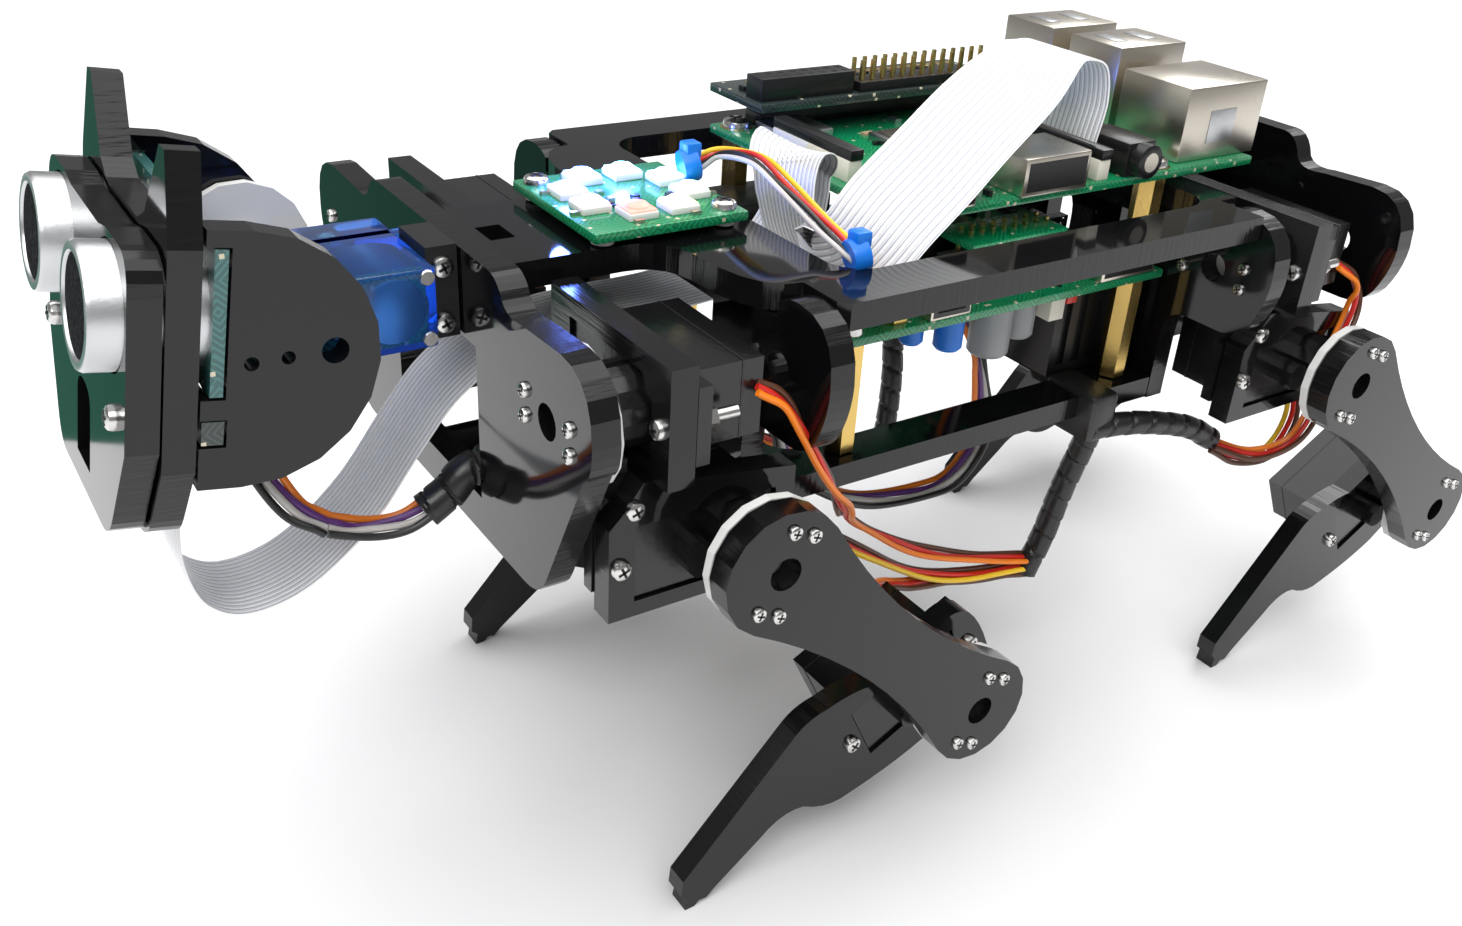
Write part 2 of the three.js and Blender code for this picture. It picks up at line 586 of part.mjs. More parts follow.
function addHead(body) {
  const head = new THREE.Group();
  head.position.set(PIVOT.x, 0, PIVOT.z);
  head.rotation.y = THREE.MathUtils.degToRad(-HEAD_PITCH);
  body.add(head);
  const faceBack = FACE_FRONT - FACE_THICK;
  named(head, 'face_plate', acrossPlate(eyeAndMouthHoles(faceShape()), faceBack, FACE_THICK), acrylic);
  named(head, 'ear_plate',
    acrossPlate(eyeAndMouthHoles(earShape()), faceBack - GAP - FACE_THICK, FACE_THICK), acrylic);
  const slots = [[HOLDER.back, HOLDER.front, HOLDER], [SONAR.back, FACE_FRONT, SONAR]].map(
    ([back, front, { bottom, top }]) =>
      block(back - GAP, front + GAP, -FACE_Y - 1, FACE_Y + 1, bottom - GAP, top + GAP));
  for (const [name, side] of [['cheek_left', 1], ['cheek_right', -1]]) {
    const cheek = alongPlate(cheekShape(), side * FACE_Y, side * CHEEK.inner);
    named(head, name, cut(cheek, ...slots), acrylic);
  }

  const board = block(SONAR.back, SONAR.back + BOARD, -SONAR.halfWidth, SONAR.halfWidth,
    SONAR.bottom, SONAR.top);
  const eyes = [-1, 1].map((side) =>
    rod('x', side * EYE.y, EYE.z, EYE.radius, SONAR.back + 0.5, EYE.front, EYE.sides));
  named(head, 'sonar_module', join(board, ...eyes), silver);

  const lens = rod('x', 0, -8.3, 2.2, HOLDER.back + 1, faceBack, 16);
  const camera = block(HOLDER.back + 1, HOLDER.back + 1 + BOARD, -11, 11, -26.5, -10);
  const holder = block(HOLDER.back, HOLDER.front, -SONAR.halfWidth, SONAR.halfWidth,
    HOLDER.bottom, HOLDER.top);
  const lensBase = block(HOLDER.back + 0.5, HOLDER.front, -4, 4, -12, -6.5);
  named(head, 'camera_module', join(camera, holder, lensBase, lens), greenBoard);

  const right = new THREE.Vector3(0, -1, 0);
  const forward = new THREE.Vector3(1, 0, 0);
  const backward = new THREE.Vector3(-1, 0, 0);
  const servoFace = -11;
  named(head, 'head_horn', aimed(hornShape(), right, forward, [0, servoFace, 0]), hornPlastic);
  named(body, 'head_servo',
    aimed(servoShape(HEAD_SERVO), right, backward, [PIVOT.x, servoFace, PIVOT.z]), bluePlastic);

  const mount = {
    back: FRONT_PLATE_X + PLATE + GAP, front: 98.3, right: 1.3, left: 11, bottom: 97.2, top: 111,
  };
  const blockShape = block(mount.back, mount.front, mount.right, mount.left, mount.bottom, mount.top);
  named(body, 'head_mount', blockShape, blackPlastic);
}

// ---- leads --------------------------------------------------------------------------
function swept(points, section, steps) {
  const path = new THREE.CatmullRomCurve3(points.map((p) => new THREE.Vector3(...p)), false, 'centripetal');
  return new THREE.ExtrudeGeometry(section, { steps, extrudePath: path, curveSegments: 2 });
}

function addLeads(body) {
  const half = [RIBBON.width / 2, RIBBON.thickness / 2];
  const [wide, thin] = half;
  const flat = outline([[-wide, -thin], [wide, -thin], [wide, thin], [-wide, thin]]);
  const ribbonRoute = [
    [-17.9, 16.4, 116.8], [-19, 16.4, 124], [-16.5, 16.6, 130.4], [-9.5, 16.8, 131.2],
    [-2, 17, 126.2], [6.4, 17.2, 121.2], [18, 17.6, 118.2], [28, 18.4, 115.2], [32.4, 18.8, 109.4],
    [32.2, 17.4, 103.4], [33.6, 14.4, 100.6], [36, 11.4, 104], [36.8, 9.6, 110.4], [35.6, 8, 115.4],
    [32.6, 6.4, 116.2], [30.6, 5, 111], [31, 3.4, 103], [36.6, 1.4, 96.2], [52, 0, 93.2],
    [70, 0, 92.8], [84, 0, 90.8], [93, 0, 85.6], [99.8, 0, 77.8], [108, 0, 67.4],
    [118, 0, 59.6], [127.2, 0, 57.6], [133, 0, 61], [134.6, 0, 65.6]];
  named(body, 'camera_ribbon', swept(ribbonRoute, flat, RIBBON.steps), ribbonPlastic);

  const section = new THREE.Shape();
  for (let i = 0; i < LEAD.sides; i += 1) {
    const angle = (2 * Math.PI * i) / LEAD.sides;
    const corner = [LEAD.radius * Math.cos(angle), LEAD.radius * Math.sin(angle)];
    if (i === 0) section.moveTo(...corner);
    else section.lineTo(...corner);
  }
  const leadRoute = [
    [115.6, 10.8, 71.2], [111, 11.2, 69.4], [104, 11.6, 69], [98.6, 12, 71.6], [94.6, 12.4, 75.2],
    [88, 12.6, 77], [78, 12.6, 77.2], [66, 12.4, 77.2], [54, 12.4, 77.4], [45, 12.6, 75],
    [37.5, 13, 69], [33, 13.4, 60], [24, 12.6, 52.4], [12, 11.4, 47], [-2, 10.6, 44.4],
    [-10, 10.2, 45.4], [-15.6, 9.8, 51], [-16.4, 9.4, 59], [-14, 9, 69], [-10, 8.4, 79],
    [-8.6, 8, 89.2]];
  named(body, 'sonar_lead', swept(leadRoute, section, LEAD.steps), leadPlastic);
}

// ---- the robot ----------------------------------------------------------------------
const robot = new THREE.Group();
const body = new THREE.Group();
robot.add(body);
addUprights(body);
addDecks(body);
addShield(body);
addComputer(body);
addSmallBoards(body);
addBatteryHolder(body);
addHead(body);
addLeads(body);
for (const end of ['front', 'rear']) {
  for (const side of [1, -1]) addLeg(body, end, side);
}

// Stands the robot on the floor with the middle of its box over the origin.
const box = new THREE.Box3().setFromObject(robot, true);
body.position.set(-(box.min.x + box.max.x) / 2, -(box.min.y + box.max.y) / 2, -box.min.z);

export default robot;
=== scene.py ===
import math
import random

import bmesh
import bpy
from mathutils import Matrix, Vector


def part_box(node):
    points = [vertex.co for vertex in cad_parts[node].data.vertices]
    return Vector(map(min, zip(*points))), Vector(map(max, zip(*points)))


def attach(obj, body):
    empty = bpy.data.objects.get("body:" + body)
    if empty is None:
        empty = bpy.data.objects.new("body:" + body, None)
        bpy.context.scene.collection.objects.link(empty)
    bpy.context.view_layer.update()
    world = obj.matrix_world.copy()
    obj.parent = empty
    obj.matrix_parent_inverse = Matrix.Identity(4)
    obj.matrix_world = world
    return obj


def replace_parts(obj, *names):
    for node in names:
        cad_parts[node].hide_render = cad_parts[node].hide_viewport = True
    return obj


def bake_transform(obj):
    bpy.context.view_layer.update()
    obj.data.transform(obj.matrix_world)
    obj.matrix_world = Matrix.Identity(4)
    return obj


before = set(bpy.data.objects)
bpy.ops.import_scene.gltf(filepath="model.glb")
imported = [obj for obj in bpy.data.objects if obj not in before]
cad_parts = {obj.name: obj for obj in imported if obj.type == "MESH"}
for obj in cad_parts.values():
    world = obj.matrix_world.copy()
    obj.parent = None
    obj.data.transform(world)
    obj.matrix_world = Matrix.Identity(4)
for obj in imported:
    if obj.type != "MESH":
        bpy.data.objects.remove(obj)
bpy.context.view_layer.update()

# ---- sizes, in millimetres, as the CAD source names them -----------------------------
HIP_X, HIP_Z = 66.5, 74.0
ROLL_Y, ROLL_Z = 38.0, 95.4
TEE_FRONT = 81.2
THIGH_LENGTH = 61.2
BRACKET_Y, THIGH_Y = 45.0, 57.2
STANCE = {"f": (46.4, 27.2), "r": (48.7, 29.3)}
PIVOT = (115.5, 0.0, 104.0)
HEAD_PITCH = 9.5
FRONT_PLATE = 93.4                             # its front face
COMPUTER_TOP, SHIELD_TOP, LED_TOP, ADAPTER_TOP = 111.0, 91.6, 110.2, 118.0
COMPUTER_FRONT, COMPUTER_LEFT = 27.3, 27.9
BOARD = 1.6
LEGS = ("fl", "fr", "rl", "rr")
WRAP_PITCH = 4.6

# ---- sizes of the details that only this script makes, in millimetres ----------------
PIN_PITCH = 2.54
SERVO_LUGS = (-8.5, 19.5)                      # lug screws, along the case from its shaft
SERVO_HALF, SERVO_FAR = 5.98, 16.98            # case joint: half width, and far end from the shaft
LID_DEPTH = 17.9                               # from the lug face back to the lid
LID_HALF, LID_FAR = 4.6, 15.6                  # lid screws: half spacing, and the far pair
HORN_REACH, HORN_SPREAD = 6.5, 1.9             # horn screws, from the shaft
BOARD_HOLES_X, BOARD_HOLES_Y = (23.8, -34.2), 24.4
HEADER_PINS = 20
LED_X, LED_RING, LED_GLOW_RING = 60, 9.6, 10.5
CHIPS = ((1.6, 0.8), (1, 0.5), (2.4, 1.4), (3, 3), (1.2, 1.2))   # lengths and widths
WIRE_SIDES, WRAP_SIDES = 10, 20
PLATE_EDGE, CASE_EDGE, FINE_EDGE = 0.00025, 0.0003, 0.0001       # bevels, in metres

SHIFT = Vector((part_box("front_plate")[0].x * 1000 - 89.2, 0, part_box("bottom_plate")[0].z * 1000 - 65.8))
BODY = Matrix.Scale(0.001, 4) @ Matrix.Translation(SHIFT)


def side_of(key):
    return 1 if key[1] == "l" else -1


def leg_frame(key):
    return BODY @ Matrix.Translation((0 if key[0] == "f" else -2 * HIP_X, 0, 0))


def thigh_frame(key):
    tilt = math.radians(90 + STANCE[key[0]][0])
    return leg_frame(key) @ Matrix.Translation((HIP_X, 0, HIP_Z)) @ Matrix.Rotation(tilt, 4, "Y")


def shin_frame(key):
    thigh, shin = STANCE[key[0]]
    bend = math.radians(shin - 90 - thigh)
    return thigh_frame(key) @ Matrix.Translation((THIGH_LENGTH, 0, 0)) @ Matrix.Rotation(bend, 4, "Y")


HEAD = BODY @ Matrix.Translation(PIVOT) @ Matrix.Rotation(math.radians(-HEAD_PITCH), 4, "Y")
FACE_AXIS = (math.cos(math.radians(HEAD_PITCH)), 0, math.sin(math.radians(HEAD_PITCH)))


# ---- camera --------------------------------------------------------------------------
def add_camera():
    data = bpy.data.cameras.new("camera")
    data.sensor_width = 36
    data.lens = 33.65
    data.shift_x = -0.0185
    data.shift_y = 0.0089
    data.dof.use_dof = False
    camera = bpy.data.objects.new("camera", data)
    bpy.context.collection.objects.link(camera)
    looking = Vector((-0.5122, -0.7028, -0.4937))
    level = looking.to_track_quat("-Z", "Y").to_matrix().to_4x4()
    roll = Matrix.Rotation(math.radians(4.17), 4, "Z")
    camera.matrix_world = Matrix.Translation(BODY @ Vector((163.9, 182.5, 179.5))) @ level @ roll
    bpy.context.scene.camera = camera


# ---- materials -----------------------------------------------------------------------
def shader(name, color, roughness, metallic=0.0, **inputs):
    material = bpy.data.materials.new(name)
    material.use_nodes = True
    bsdf = material.node_tree.nodes["Principled BSDF"]
    bsdf.inputs["Base Color"].default_value = (*color, 1)
    bsdf.inputs["Roughness"].default_value = roughness
    bsdf.inputs["Metallic"].default_value = metallic
    for key, value in inputs.items():
        bsdf.inputs[key.replace("_", " ")].default_value = value
    return material, material.node_tree, bsdf


def node(tree, kind, **values):
    made = tree.nodes.new(kind)
    for key, value in values.items():
        if hasattr(made, key):
            setattr(made, key, value)
        else:
            made.inputs[key.replace("_", " ")].default_value = value
    return made


def math_node(tree, operation, first, second=None):
    made = node(tree, "ShaderNodeMath", operation=operation)
    tree.links.new(first, made.inputs[0])
    if second is not None:
        made.inputs[1].default_value = second
    return made.outputs[0]


def mixed(tree, factor, low, high):
    mix = node(tree, "ShaderNodeMix", data_type="RGBA")
    tree.links.new(factor, mix.inputs[0])
    mix.inputs[6].default_value = (*low, 1)
    mix.inputs[7].default_value = (*high, 1)
    return mix.outputs[2]


def ranged(tree, factor, low, high):
    made = node(tree, "ShaderNodeMapRange")
    tree.links.new(factor, made.inputs[0])
    made.inputs[3].default_value = low
    made.inputs[4].default_value = high
    return made.outputs[0]


def noise(tree, scale, detail=3.0, stretch=(1, 1, 1)):
    coordinates = node(tree, "ShaderNodeTexCoord")
    mapping = node(tree, "ShaderNodeMapping")
    mapping.inputs["Scale"].default_value = stretch
    tree.links.new(coordinates.outputs["Object"], mapping.inputs["Vector"])
    made = node(tree, "ShaderNodeTexNoise", Scale=scale, Detail=detail)
    tree.links.new(mapping.outputs[0], made.inputs["Vector"])
    return made.outputs["Fac"]


def bumped(tree, bsdf, height, strength, distance=0.0002):
    bump = node(tree, "ShaderNodeBump", Strength=strength, Distance=distance)
    tree.links.new(height, bump.inputs["Height"])
    tree.links.new(bump.outputs[0], bsdf.inputs["Normal"])


def grained(name, color, roughness, metallic=0.0, scale=900.0, bump=0.15, spread=0.08, **inputs):
    """A moulded or machined surface: fine grain, and a roughness that varies a little."""
    material, tree, bsdf = shader(name, color, roughness, metallic, **inputs)
    grain = noise(tree, scale)
    cloud = noise(tree, scale / 20)
    varied = ranged(tree, cloud, max(roughness - spread, 0.02), roughness + spread)
    tree.links.new(varied, bsdf.inputs["Roughness"])
    dim = tuple(channel * 0.8 for channel in color)
    tree.links.new(mixed(tree, cloud, dim, color), bsdf.inputs["Base Color"])
    bumped(tree, bsdf, grain, bump)
    return material


def acrylic(name, axis):
    """Black sheet: polished faces, and cut edges with fine lines across the thickness."""
    material, tree, bsdf = shader(name, (0.004, 0.004, 0.005), 0.08, Specular_IOR_Level=0.42)
    coordinates = node(tree, "ShaderNodeTexCoord")
    facing = node(tree, "ShaderNodeVectorMath", operation="DOT_PRODUCT")
    tree.links.new(coordinates.outputs["Normal"], facing.inputs[0])
    facing.inputs[1].default_value = axis
    flat = math_node(tree, "GREATER_THAN", math_node(tree, "ABSOLUTE", facing.outputs["Value"]), 0.9)
    stretch = tuple(1 - 0.94 * abs(part) for part in axis)
    lines = noise(tree, 1700, 2.0, stretch)
    smears = noise(tree, 45)
    edge = node(tree, "ShaderNodeMix", data_type="FLOAT")
    tree.links.new(flat, edge.inputs[0])
    tree.links.new(ranged(tree, lines, 0.1, 0.24), edge.inputs[2])
    tree.links.new(ranged(tree, smears, 0.04, 0.1), edge.inputs[3])
    tree.links.new(edge.outputs[0], bsdf.inputs["Roughness"])
    shade = mixed(tree, flat, (0.004, 0.004, 0.0045), (0.003, 0.003, 0.0035))
    tree.links.new(shade, bsdf.inputs["Base Color"])
    depth = math_node(tree, "MULTIPLY", math_node(tree, "SUBTRACT", flat, 1.0), -0.22)
    bump = node(tree, "ShaderNodeBump", Distance=0.0002)
    tree.links.new(depth, bump.inputs["Strength"])
    tree.links.new(lines, bump.inputs["Height"])
    tree.links.new(bump.outputs[0], bsdf.inputs["Normal"])
    return material


def circuit(name, mask, trace):
    """Solder mask with copper lines showing faintly through it."""
    material, tree, bsdf = shader(name, mask, 0.28, Coat_Weight=0.4, Coat_Roughness=0.15)
    coordinates = node(tree, "ShaderNodeTexCoord")
    cells = node(tree, "ShaderNodeTexVoronoi", Scale=170.0, distance="MANHATTAN")
    tree.links.new(coordinates.outputs["Object"], cells.inputs["Vector"])
    rings = math_node(tree, "FRACT", math_node(tree, "MULTIPLY", cells.outputs["Distance"], 6.0))
    line = math_node(tree, "GREATER_THAN", rings, 0.62)
    pads = node(tree, "ShaderNodeTexVoronoi", Scale=420.0, distance="CHEBYCHEV")
    tree.links.new(coordinates.outputs["Object"], pads.inputs["Vector"])
    pad = math_node(tree, "LESS_THAN", pads.outputs["Distance"], 0.13)
    traced = node(tree, "ShaderNodeMix", data_type="RGBA")
    tree.links.new(pad, traced.inputs[0])
    tree.links.new(mixed(tree, line, mask, trace), traced.inputs[6])
    traced.inputs[7].default_value = (0.55, 0.5, 0.36, 1)
    tree.links.new(traced.outputs[2], bsdf.inputs["Base Color"])
    bumped(tree, bsdf, line, 0.2, 0.00005)
    return material


def clear_case():
    material, tree, bsdf = shader(
        "clear_blue", (0.05, 0.25, 0.95), 0.08, Transmission_Weight=0.9, IOR=1.45)
    cloud = noise(tree, 60)
    shade = mixed(tree, cloud, (0.03, 0.18, 0.85), (0.08, 0.32, 0.98))
    tree.links.new(shade, bsdf.inputs["Base Color"])
    return material


def glowing(name, color, strength):
    material, tree, bsdf = shader(name, color, 0.4, Emission_Strength=strength)
    bsdf.inputs["Emission Color"].default_value = (*color, 1)
    spot = noise(tree, 300)
    tree.links.new(ranged(tree, spot, strength * 0.8, strength * 1.2), bsdf.inputs["Emission Strength"])
    return material


def striped(name):
    """Flat cable: pale conductors side by side across its width."""
    material, tree, bsdf = shader(name, (0.8, 0.82, 0.85), 0.32)
    coordinates = node(tree, "ShaderNodeUVMap", uv_map="across")
    parts = node(tree, "ShaderNodeSeparateXYZ")
    tree.links.new(coordinates.outputs[0], parts.inputs[0])
    wave = math_node(tree, "SINE", math_node(tree, "MULTIPLY", parts.outputs[0], 15 * 2 * math.pi))
    height = ranged(tree, wave, 0, 1)
    line = math_node(tree, "GREATER_THAN", wave, -0.72)
    tree.links.new(mixed(tree, line, (0.42, 0.44, 0.48), (0.9, 0.9, 0.91)), bsdf.inputs["Base Color"])
    bumped(tree, bsdf, height, 0.5, 0.0003)
    return material


def meshed():
    """Dark wire mesh inside the sonar cans."""
    material, tree, bsdf = shader("can_mesh", (0.01, 0.011, 0.012), 0.95, 0.0, Specular_IOR_Level=0.05)
    coordinates = node(tree, "ShaderNodeTexCoord")
    cells = node(tree, "ShaderNodeTexVoronoi", Scale=1500.0)
    tree.links.new(coordinates.outputs["Object"], cells.inputs["Vector"])
    shade = mixed(tree, cells.outputs["Distance"], (0.003, 0.003, 0.0035), (0.022, 0.023, 0.025))
    tree.links.new(shade, bsdf.inputs["Base Color"])
    bumped(tree, bsdf, cells.outputs["Distance"], 0.8, 0.0003)
    return material


M = {
    "along": acrylic("acrylic_along", (0, 1, 0)),
    "across": acrylic("acrylic_across", (1, 0, 0)),
    "level": acrylic("acrylic_level", (0, 0, 1)),
    "face": acrylic("acrylic_face", FACE_AXIS),
    "servo": grained("servo_case", (0.005, 0.005, 0.0055), 0.2),
    "horn": grained("horn_plastic", (0.72, 0.72, 0.7), 0.45),
    "blue": clear_case(),
    "green": circuit("green_board", (0.0, 0.16, 0.055), (0.01, 0.3, 0.12)),
    "teal_board": circuit("teal_board", (0.02, 0.085, 0.08), (0.04, 0.15, 0.14)),
    "black_board": circuit("black_board", (0.012, 0.02, 0.018), (0.03, 0.05, 0.045)),
    "black": grained("black_plastic", (0.006, 0.006, 0.0065), 0.32),
    "steel": grained("screw_steel", (0.68, 0.67, 0.65), 0.2, 1.0, 2500.0, 0.1),
    # painted shade: near-black colour standing in for the shade inside screw recesses and socket holes
    "slot": grained("painted_recess_shade", (0.02, 0.02, 0.02), 0.5, 0.6),
    "tin": grained("tin_shell", (0.66, 0.61, 0.53), 0.3, 1.0, 1200.0, 0.06),
    "can": grained("drawn_aluminium", (0.62, 0.63, 0.64), 0.34, 1.0, 1800.0, 0.1),
    "brass": grained("brass_post", (0.72, 0.5, 0.16), 0.25, 1.0, 1500.0, 0.1),
    "gold": grained("gold_pin", (0.83, 0.62, 0.26), 0.25, 1.0, 3000.0, 0.05),
    "ivory": grained("ivory_socket", (0.75, 0.72, 0.62), 0.45),
    "white": grained("white_ink", (0.8, 0.8, 0.78), 0.5),
    "tan": grained("tan_chip", (0.45, 0.33, 0.2), 0.5),
    "grey": grained("grey_rubber", (0.3, 0.31, 0.32), 0.4),
    "mesh": meshed(),
    "ribbon": striped("flat_cable"),
    "tie": grained("blue_tie", (0.0, 0.18, 0.75), 0.4),
    "wrap": grained("spiral_wrap", (0.01, 0.01, 0.01), 0.35, 0.0, 500.0, 0.4),
}
WIRES = {
    "brown": (0.09, 0.03, 0.012), "red": (0.62, 0.02, 0.012), "orange": (0.9, 0.22, 0.01),
    "yellow": (0.85, 0.55, 0.02), "purple": (0.12, 0.03, 0.2), "pale": (0.6, 0.57, 0.54),
    "dark": (0.012, 0.012, 0.012),
}
for wire_name, wire_color in WIRES.items():
    M[wire_name] = grained("wire_" + wire_name, wire_color, 0.35)


# ---- mesh helpers --------------------------------------------------------------------
def heading(path, i):
    """Unit direction of a path of points at one of its steps."""
    return (path[min(i + 1, len(path) - 1)] - path[max(i - 1, 0)]).normalized()


def hoop(point, side, up, radii):
    """Points evenly round a centre, one at each of the radii."""
    ring = []
    for k, radius in enumerate(radii):
        angle = 2 * math.pi * k / len(radii)
        ring.append(point + side * radius * math.cos(angle) + up * radius * math.sin(angle))
    return ring


class Piece:
    """One mesh in the making; sizes are millimetres in its own frame."""

    def __init__(self, name, place, *materials):
        self.name = name
        self.place = place
        self.materials = materials
        self.bm = bmesh.new()

    def _faces(self, made, slot):
        for vert in made:
            for face in vert.link_faces:
                face.material_index = slot

    def box(self, low, high, slot=0, bevel=0.0):
        size = [b - a for a, b in zip(low, high)]
        centre = [(a + b) / 2 for a, b in zip(low, high)]
        matrix = Matrix.Translation(centre) @ Matrix.Diagonal((*size, 1))
        made = bmesh.ops.create_cube(self.bm, size=1, matrix=matrix)["verts"]
        self._faces(made, slot)
        if bevel:
            edges = {edge for vert in made for edge in vert.link_edges}
            bmesh.ops.bevel(self.bm, geom=list(edges), offset=bevel, segments=2, affect="EDGES",
                            profile=0.5, material=slot)
        return self

    def skin(self, rings, slot=0):
        """Joins rings of points, in their order, into one closed tube."""
        rings = [[self.bm.verts.new(point) for point in ring] for ring in rings]
        for low, high in zip(rings, rings[1:]):
            for i in range(len(low)):
                j = (i + 1) % len(low)
                self.bm.faces.new((low[i], low[j], high[j], high[i])).material_index = slot
        self.bm.faces.new(list(reversed(rings[0]))).material_index = slot
        self.bm.faces.new(rings[-1]).material_index = slot
        return self

    def turned(self, profile, base, axis, slot=0, sides=24):
        """A turned shape: (radius, height) pairs along an axis from its base."""
        turn = Vector(axis).to_track_quat("Z", "Y").to_matrix()
        base = Vector(base)
        rings = []
        for radius, height in profile:
            ring = []
            for i in range(sides):
                angle = 2 * math.pi * i / sides
                local = Vector((radius * math.cos(angle), radius * math.sin(angle), height))
                ring.append(base + turn @ local)
            rings.append(ring)
        return self.skin(rings, slot)

    def tube(self, points, radius, slot=0):
        """A round wire along a path of points."""
        side = Vector((0.13, 0.31, 0.94))
        rings = []
        for i, point in enumerate(points):
            along = heading(points, i)
            side = (side - along * side.dot(along)).normalized()
            rings.append(hoop(point, side, along.cross(side), [radius] * WIRE_SIDES))
        return self.skin(rings, slot)

    def screw(self, at, axis, radius=1.7, height=1.1):
        """Pan-head screw with a cross recess; slots 0 and 1 are the head and the recess, which is a raised
        cross carrying painted shade for the hollow.
        """
        dome = [(radius, 0), (radius, height * 0.35), (radius * 0.9, height * 0.72),
                (radius * 0.66, height * 0.93), (radius * 0.3, height)]
        self.turned(dome, at, axis, 0, 20)
        turn = Vector(axis).to_track_quat("Z", "Y").to_matrix().to_4x4()
        arm = (Matrix.Translation((0, 0, height * 0.82))
               @ Matrix.Diagonal((radius * 1.15, radius * 0.26, height * 0.42, 1)))
        for angle in (0.4, 0.4 + math.pi / 2):
            matrix = Matrix.Translation(at) @ turn @ Matrix.Rotation(angle, 4, "Z") @ arm
            self._faces(bmesh.ops.create_cube(self.bm, size=1, matrix=matrix)["verts"], 1)
        return self

    def done(self, body):
        """Makes the object; body is what it rides, or None to leave it riding nothing."""
        mesh = bpy.data.meshes.new(self.name)
        bmesh.ops.recalc_face_normals(self.bm, faces=self.bm.faces)
        self.bm.transform(self.place)
        self.bm.to_mesh(mesh)
        self.bm.free()
        for material in self.materials:
            mesh.materials.append(material)
        mesh.shade_smooth()
        mesh.set_sharp_from_angle(angle=math.radians(35))
        made = bpy.data.objects.new(self.name, mesh)
        bpy.context.collection.objects.link(made)
        if body:
            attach(made, body)
        return made


def smooth_path(points, steps):
    """Catmull-Rom through given points, evenly stepped."""
    points = [Vector(p) for p in points]
    ends = [2 * points[0] - points[1], *points, 2 * points[-1] - points[-2]]
    path = []
    for a, b, c, d in zip(ends, ends[1:], ends[2:], ends[3:]):
        for k in range(steps):
            t = k / steps
            path.append(0.5 * (2 * b + (c - a) * t + (2 * a - 5 * b + 4 * c - d) * t * t
                               + (3 * b - a - 3 * c + d) * t ** 3))
    path.append(points[-1])
    return path


def finish_node(name, material, bevel=0.0):
    """Gives a carried-over CAD node its material, and softens its edges."""
    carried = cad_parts[name]
    carried.data.materials.clear()
    carried.data.materials.append(material)
    if bevel:
        made = carried.modifiers.new("edge", "BEVEL")
        made.width = bevel
        made.segments = 2
        made.limit_method = "ANGLE"
        made.angle_limit = math.radians(40)


# ---- CAD nodes that stay -------------------------------------------------------------
def dress_frame():
    finishes = (
        ("across", PLATE_EDGE, ("front_plate", "front_bulkhead", "rear_bulkhead", "rear_plate")),
        ("level", PLATE_EDGE, ("top_plate", "bottom_plate")),
        ("along", PLATE_EDGE, ("cheek_left", "cheek_right")),
        ("face", PLATE_EDGE, ("face_plate", "ear_plate")),
        ("black", CASE_EDGE, ("head_mount", "battery_holder")),
        ("horn", FINE_EDGE, ("head_horn",)),
        ("black_board", FINE_EDGE, ("camera_module",)))
    leg_finishes = (
        ("horn", FINE_EDGE, ("hip_horn", "thigh_horn", "knee_horn")),
        ("servo", CASE_EDGE, ("hip_servo", "thigh_servo", "knee_servo")),
        ("along", PLATE_EDGE, ("hip_bracket", "thigh_plate", "shin")))
    for material, edge, names in finishes:
        for name in names:
            finish_node(name, M[material], edge)
    for material, edge, names in leg_finishes:
        for name in names:
            for key in LEGS:
                finish_node(f"{name}_{key}", M[material], edge)


# ---- screws and servo details --------------------------------------------------------
def horn_screws(piece, centre, across, along, axis):
    for first in (-1, 1):
        for second in (-1, 1):
            offset = Vector(across) * (first * HORN_REACH) + Vector(along) * (second * HORN_SPREAD)
            piece.screw(Vector(centre) + offset, axis, 1.15, 0.8)


def add_leg_details(key):
    side = side_of(key)
    out = (0, side, 0)
    thigh = Piece("thigh_screws_" + key, thigh_frame(key), M["steel"], M["slot"])
    for x in (0, THIGH_LENGTH):
        horn_screws(thigh, (x, side * THIGH_Y, 0), (0.35, 0, 0.937), (0.937, 0, -0.35), out)
    thigh.done("thigh_" + key)

    shin = Piece("shin_screws_" + key, shin_frame(key), M["steel"], M["slot"], M["servo"])
    for x in SERVO_LUGS:
        shin.screw((x, side * BRACKET_Y, 0), out, 1.55, 1.2)
        shin.turned([(1.7, 0), (1.7, 1.4)], (x, side * (BRACKET_Y - 6.7), 0), (0, -side, 0), 0, 6)
    shin.done("shin_" + key)

    hip = Piece("hip_screws_" + key, leg_frame(key), M["steel"], M["slot"], M["slot"])
    for lug in SERVO_LUGS:
        hip.screw((HIP_X + lug, side * BRACKET_Y, HIP_Z), out, 1.55, 1.2)
    for y in (ROLL_Y - lug for lug in SERVO_LUGS):
        hip.screw((TEE_FRONT, side * y, ROLL_Z), (1, 0, 0), 1.55, 1.2)
        hip.turned([(1.9, 0), (1.9, 1.5)], (74.5, side * y, ROLL_Z), (-1, 0, 0), 0, 6)
        hip.turned([(0.95, 0), (0.95, 4)], (73.2, side * y, ROLL_Z), (-1, 0, 0), 0, 12)
    hip.screw((84, side * BRACKET_Y, 83), out, 1.5, 1.1)
    hip.done("hip_" + key)

    roll = Piece("roll_screws_" + key, leg_frame(key), M["steel"], M["slot"])
    horn_screws(roll, (FRONT_PLATE, side * ROLL_Y, ROLL_Z), (0, 1, 0), (0, 0, 1), (1, 0, 0))
    roll.done("root")


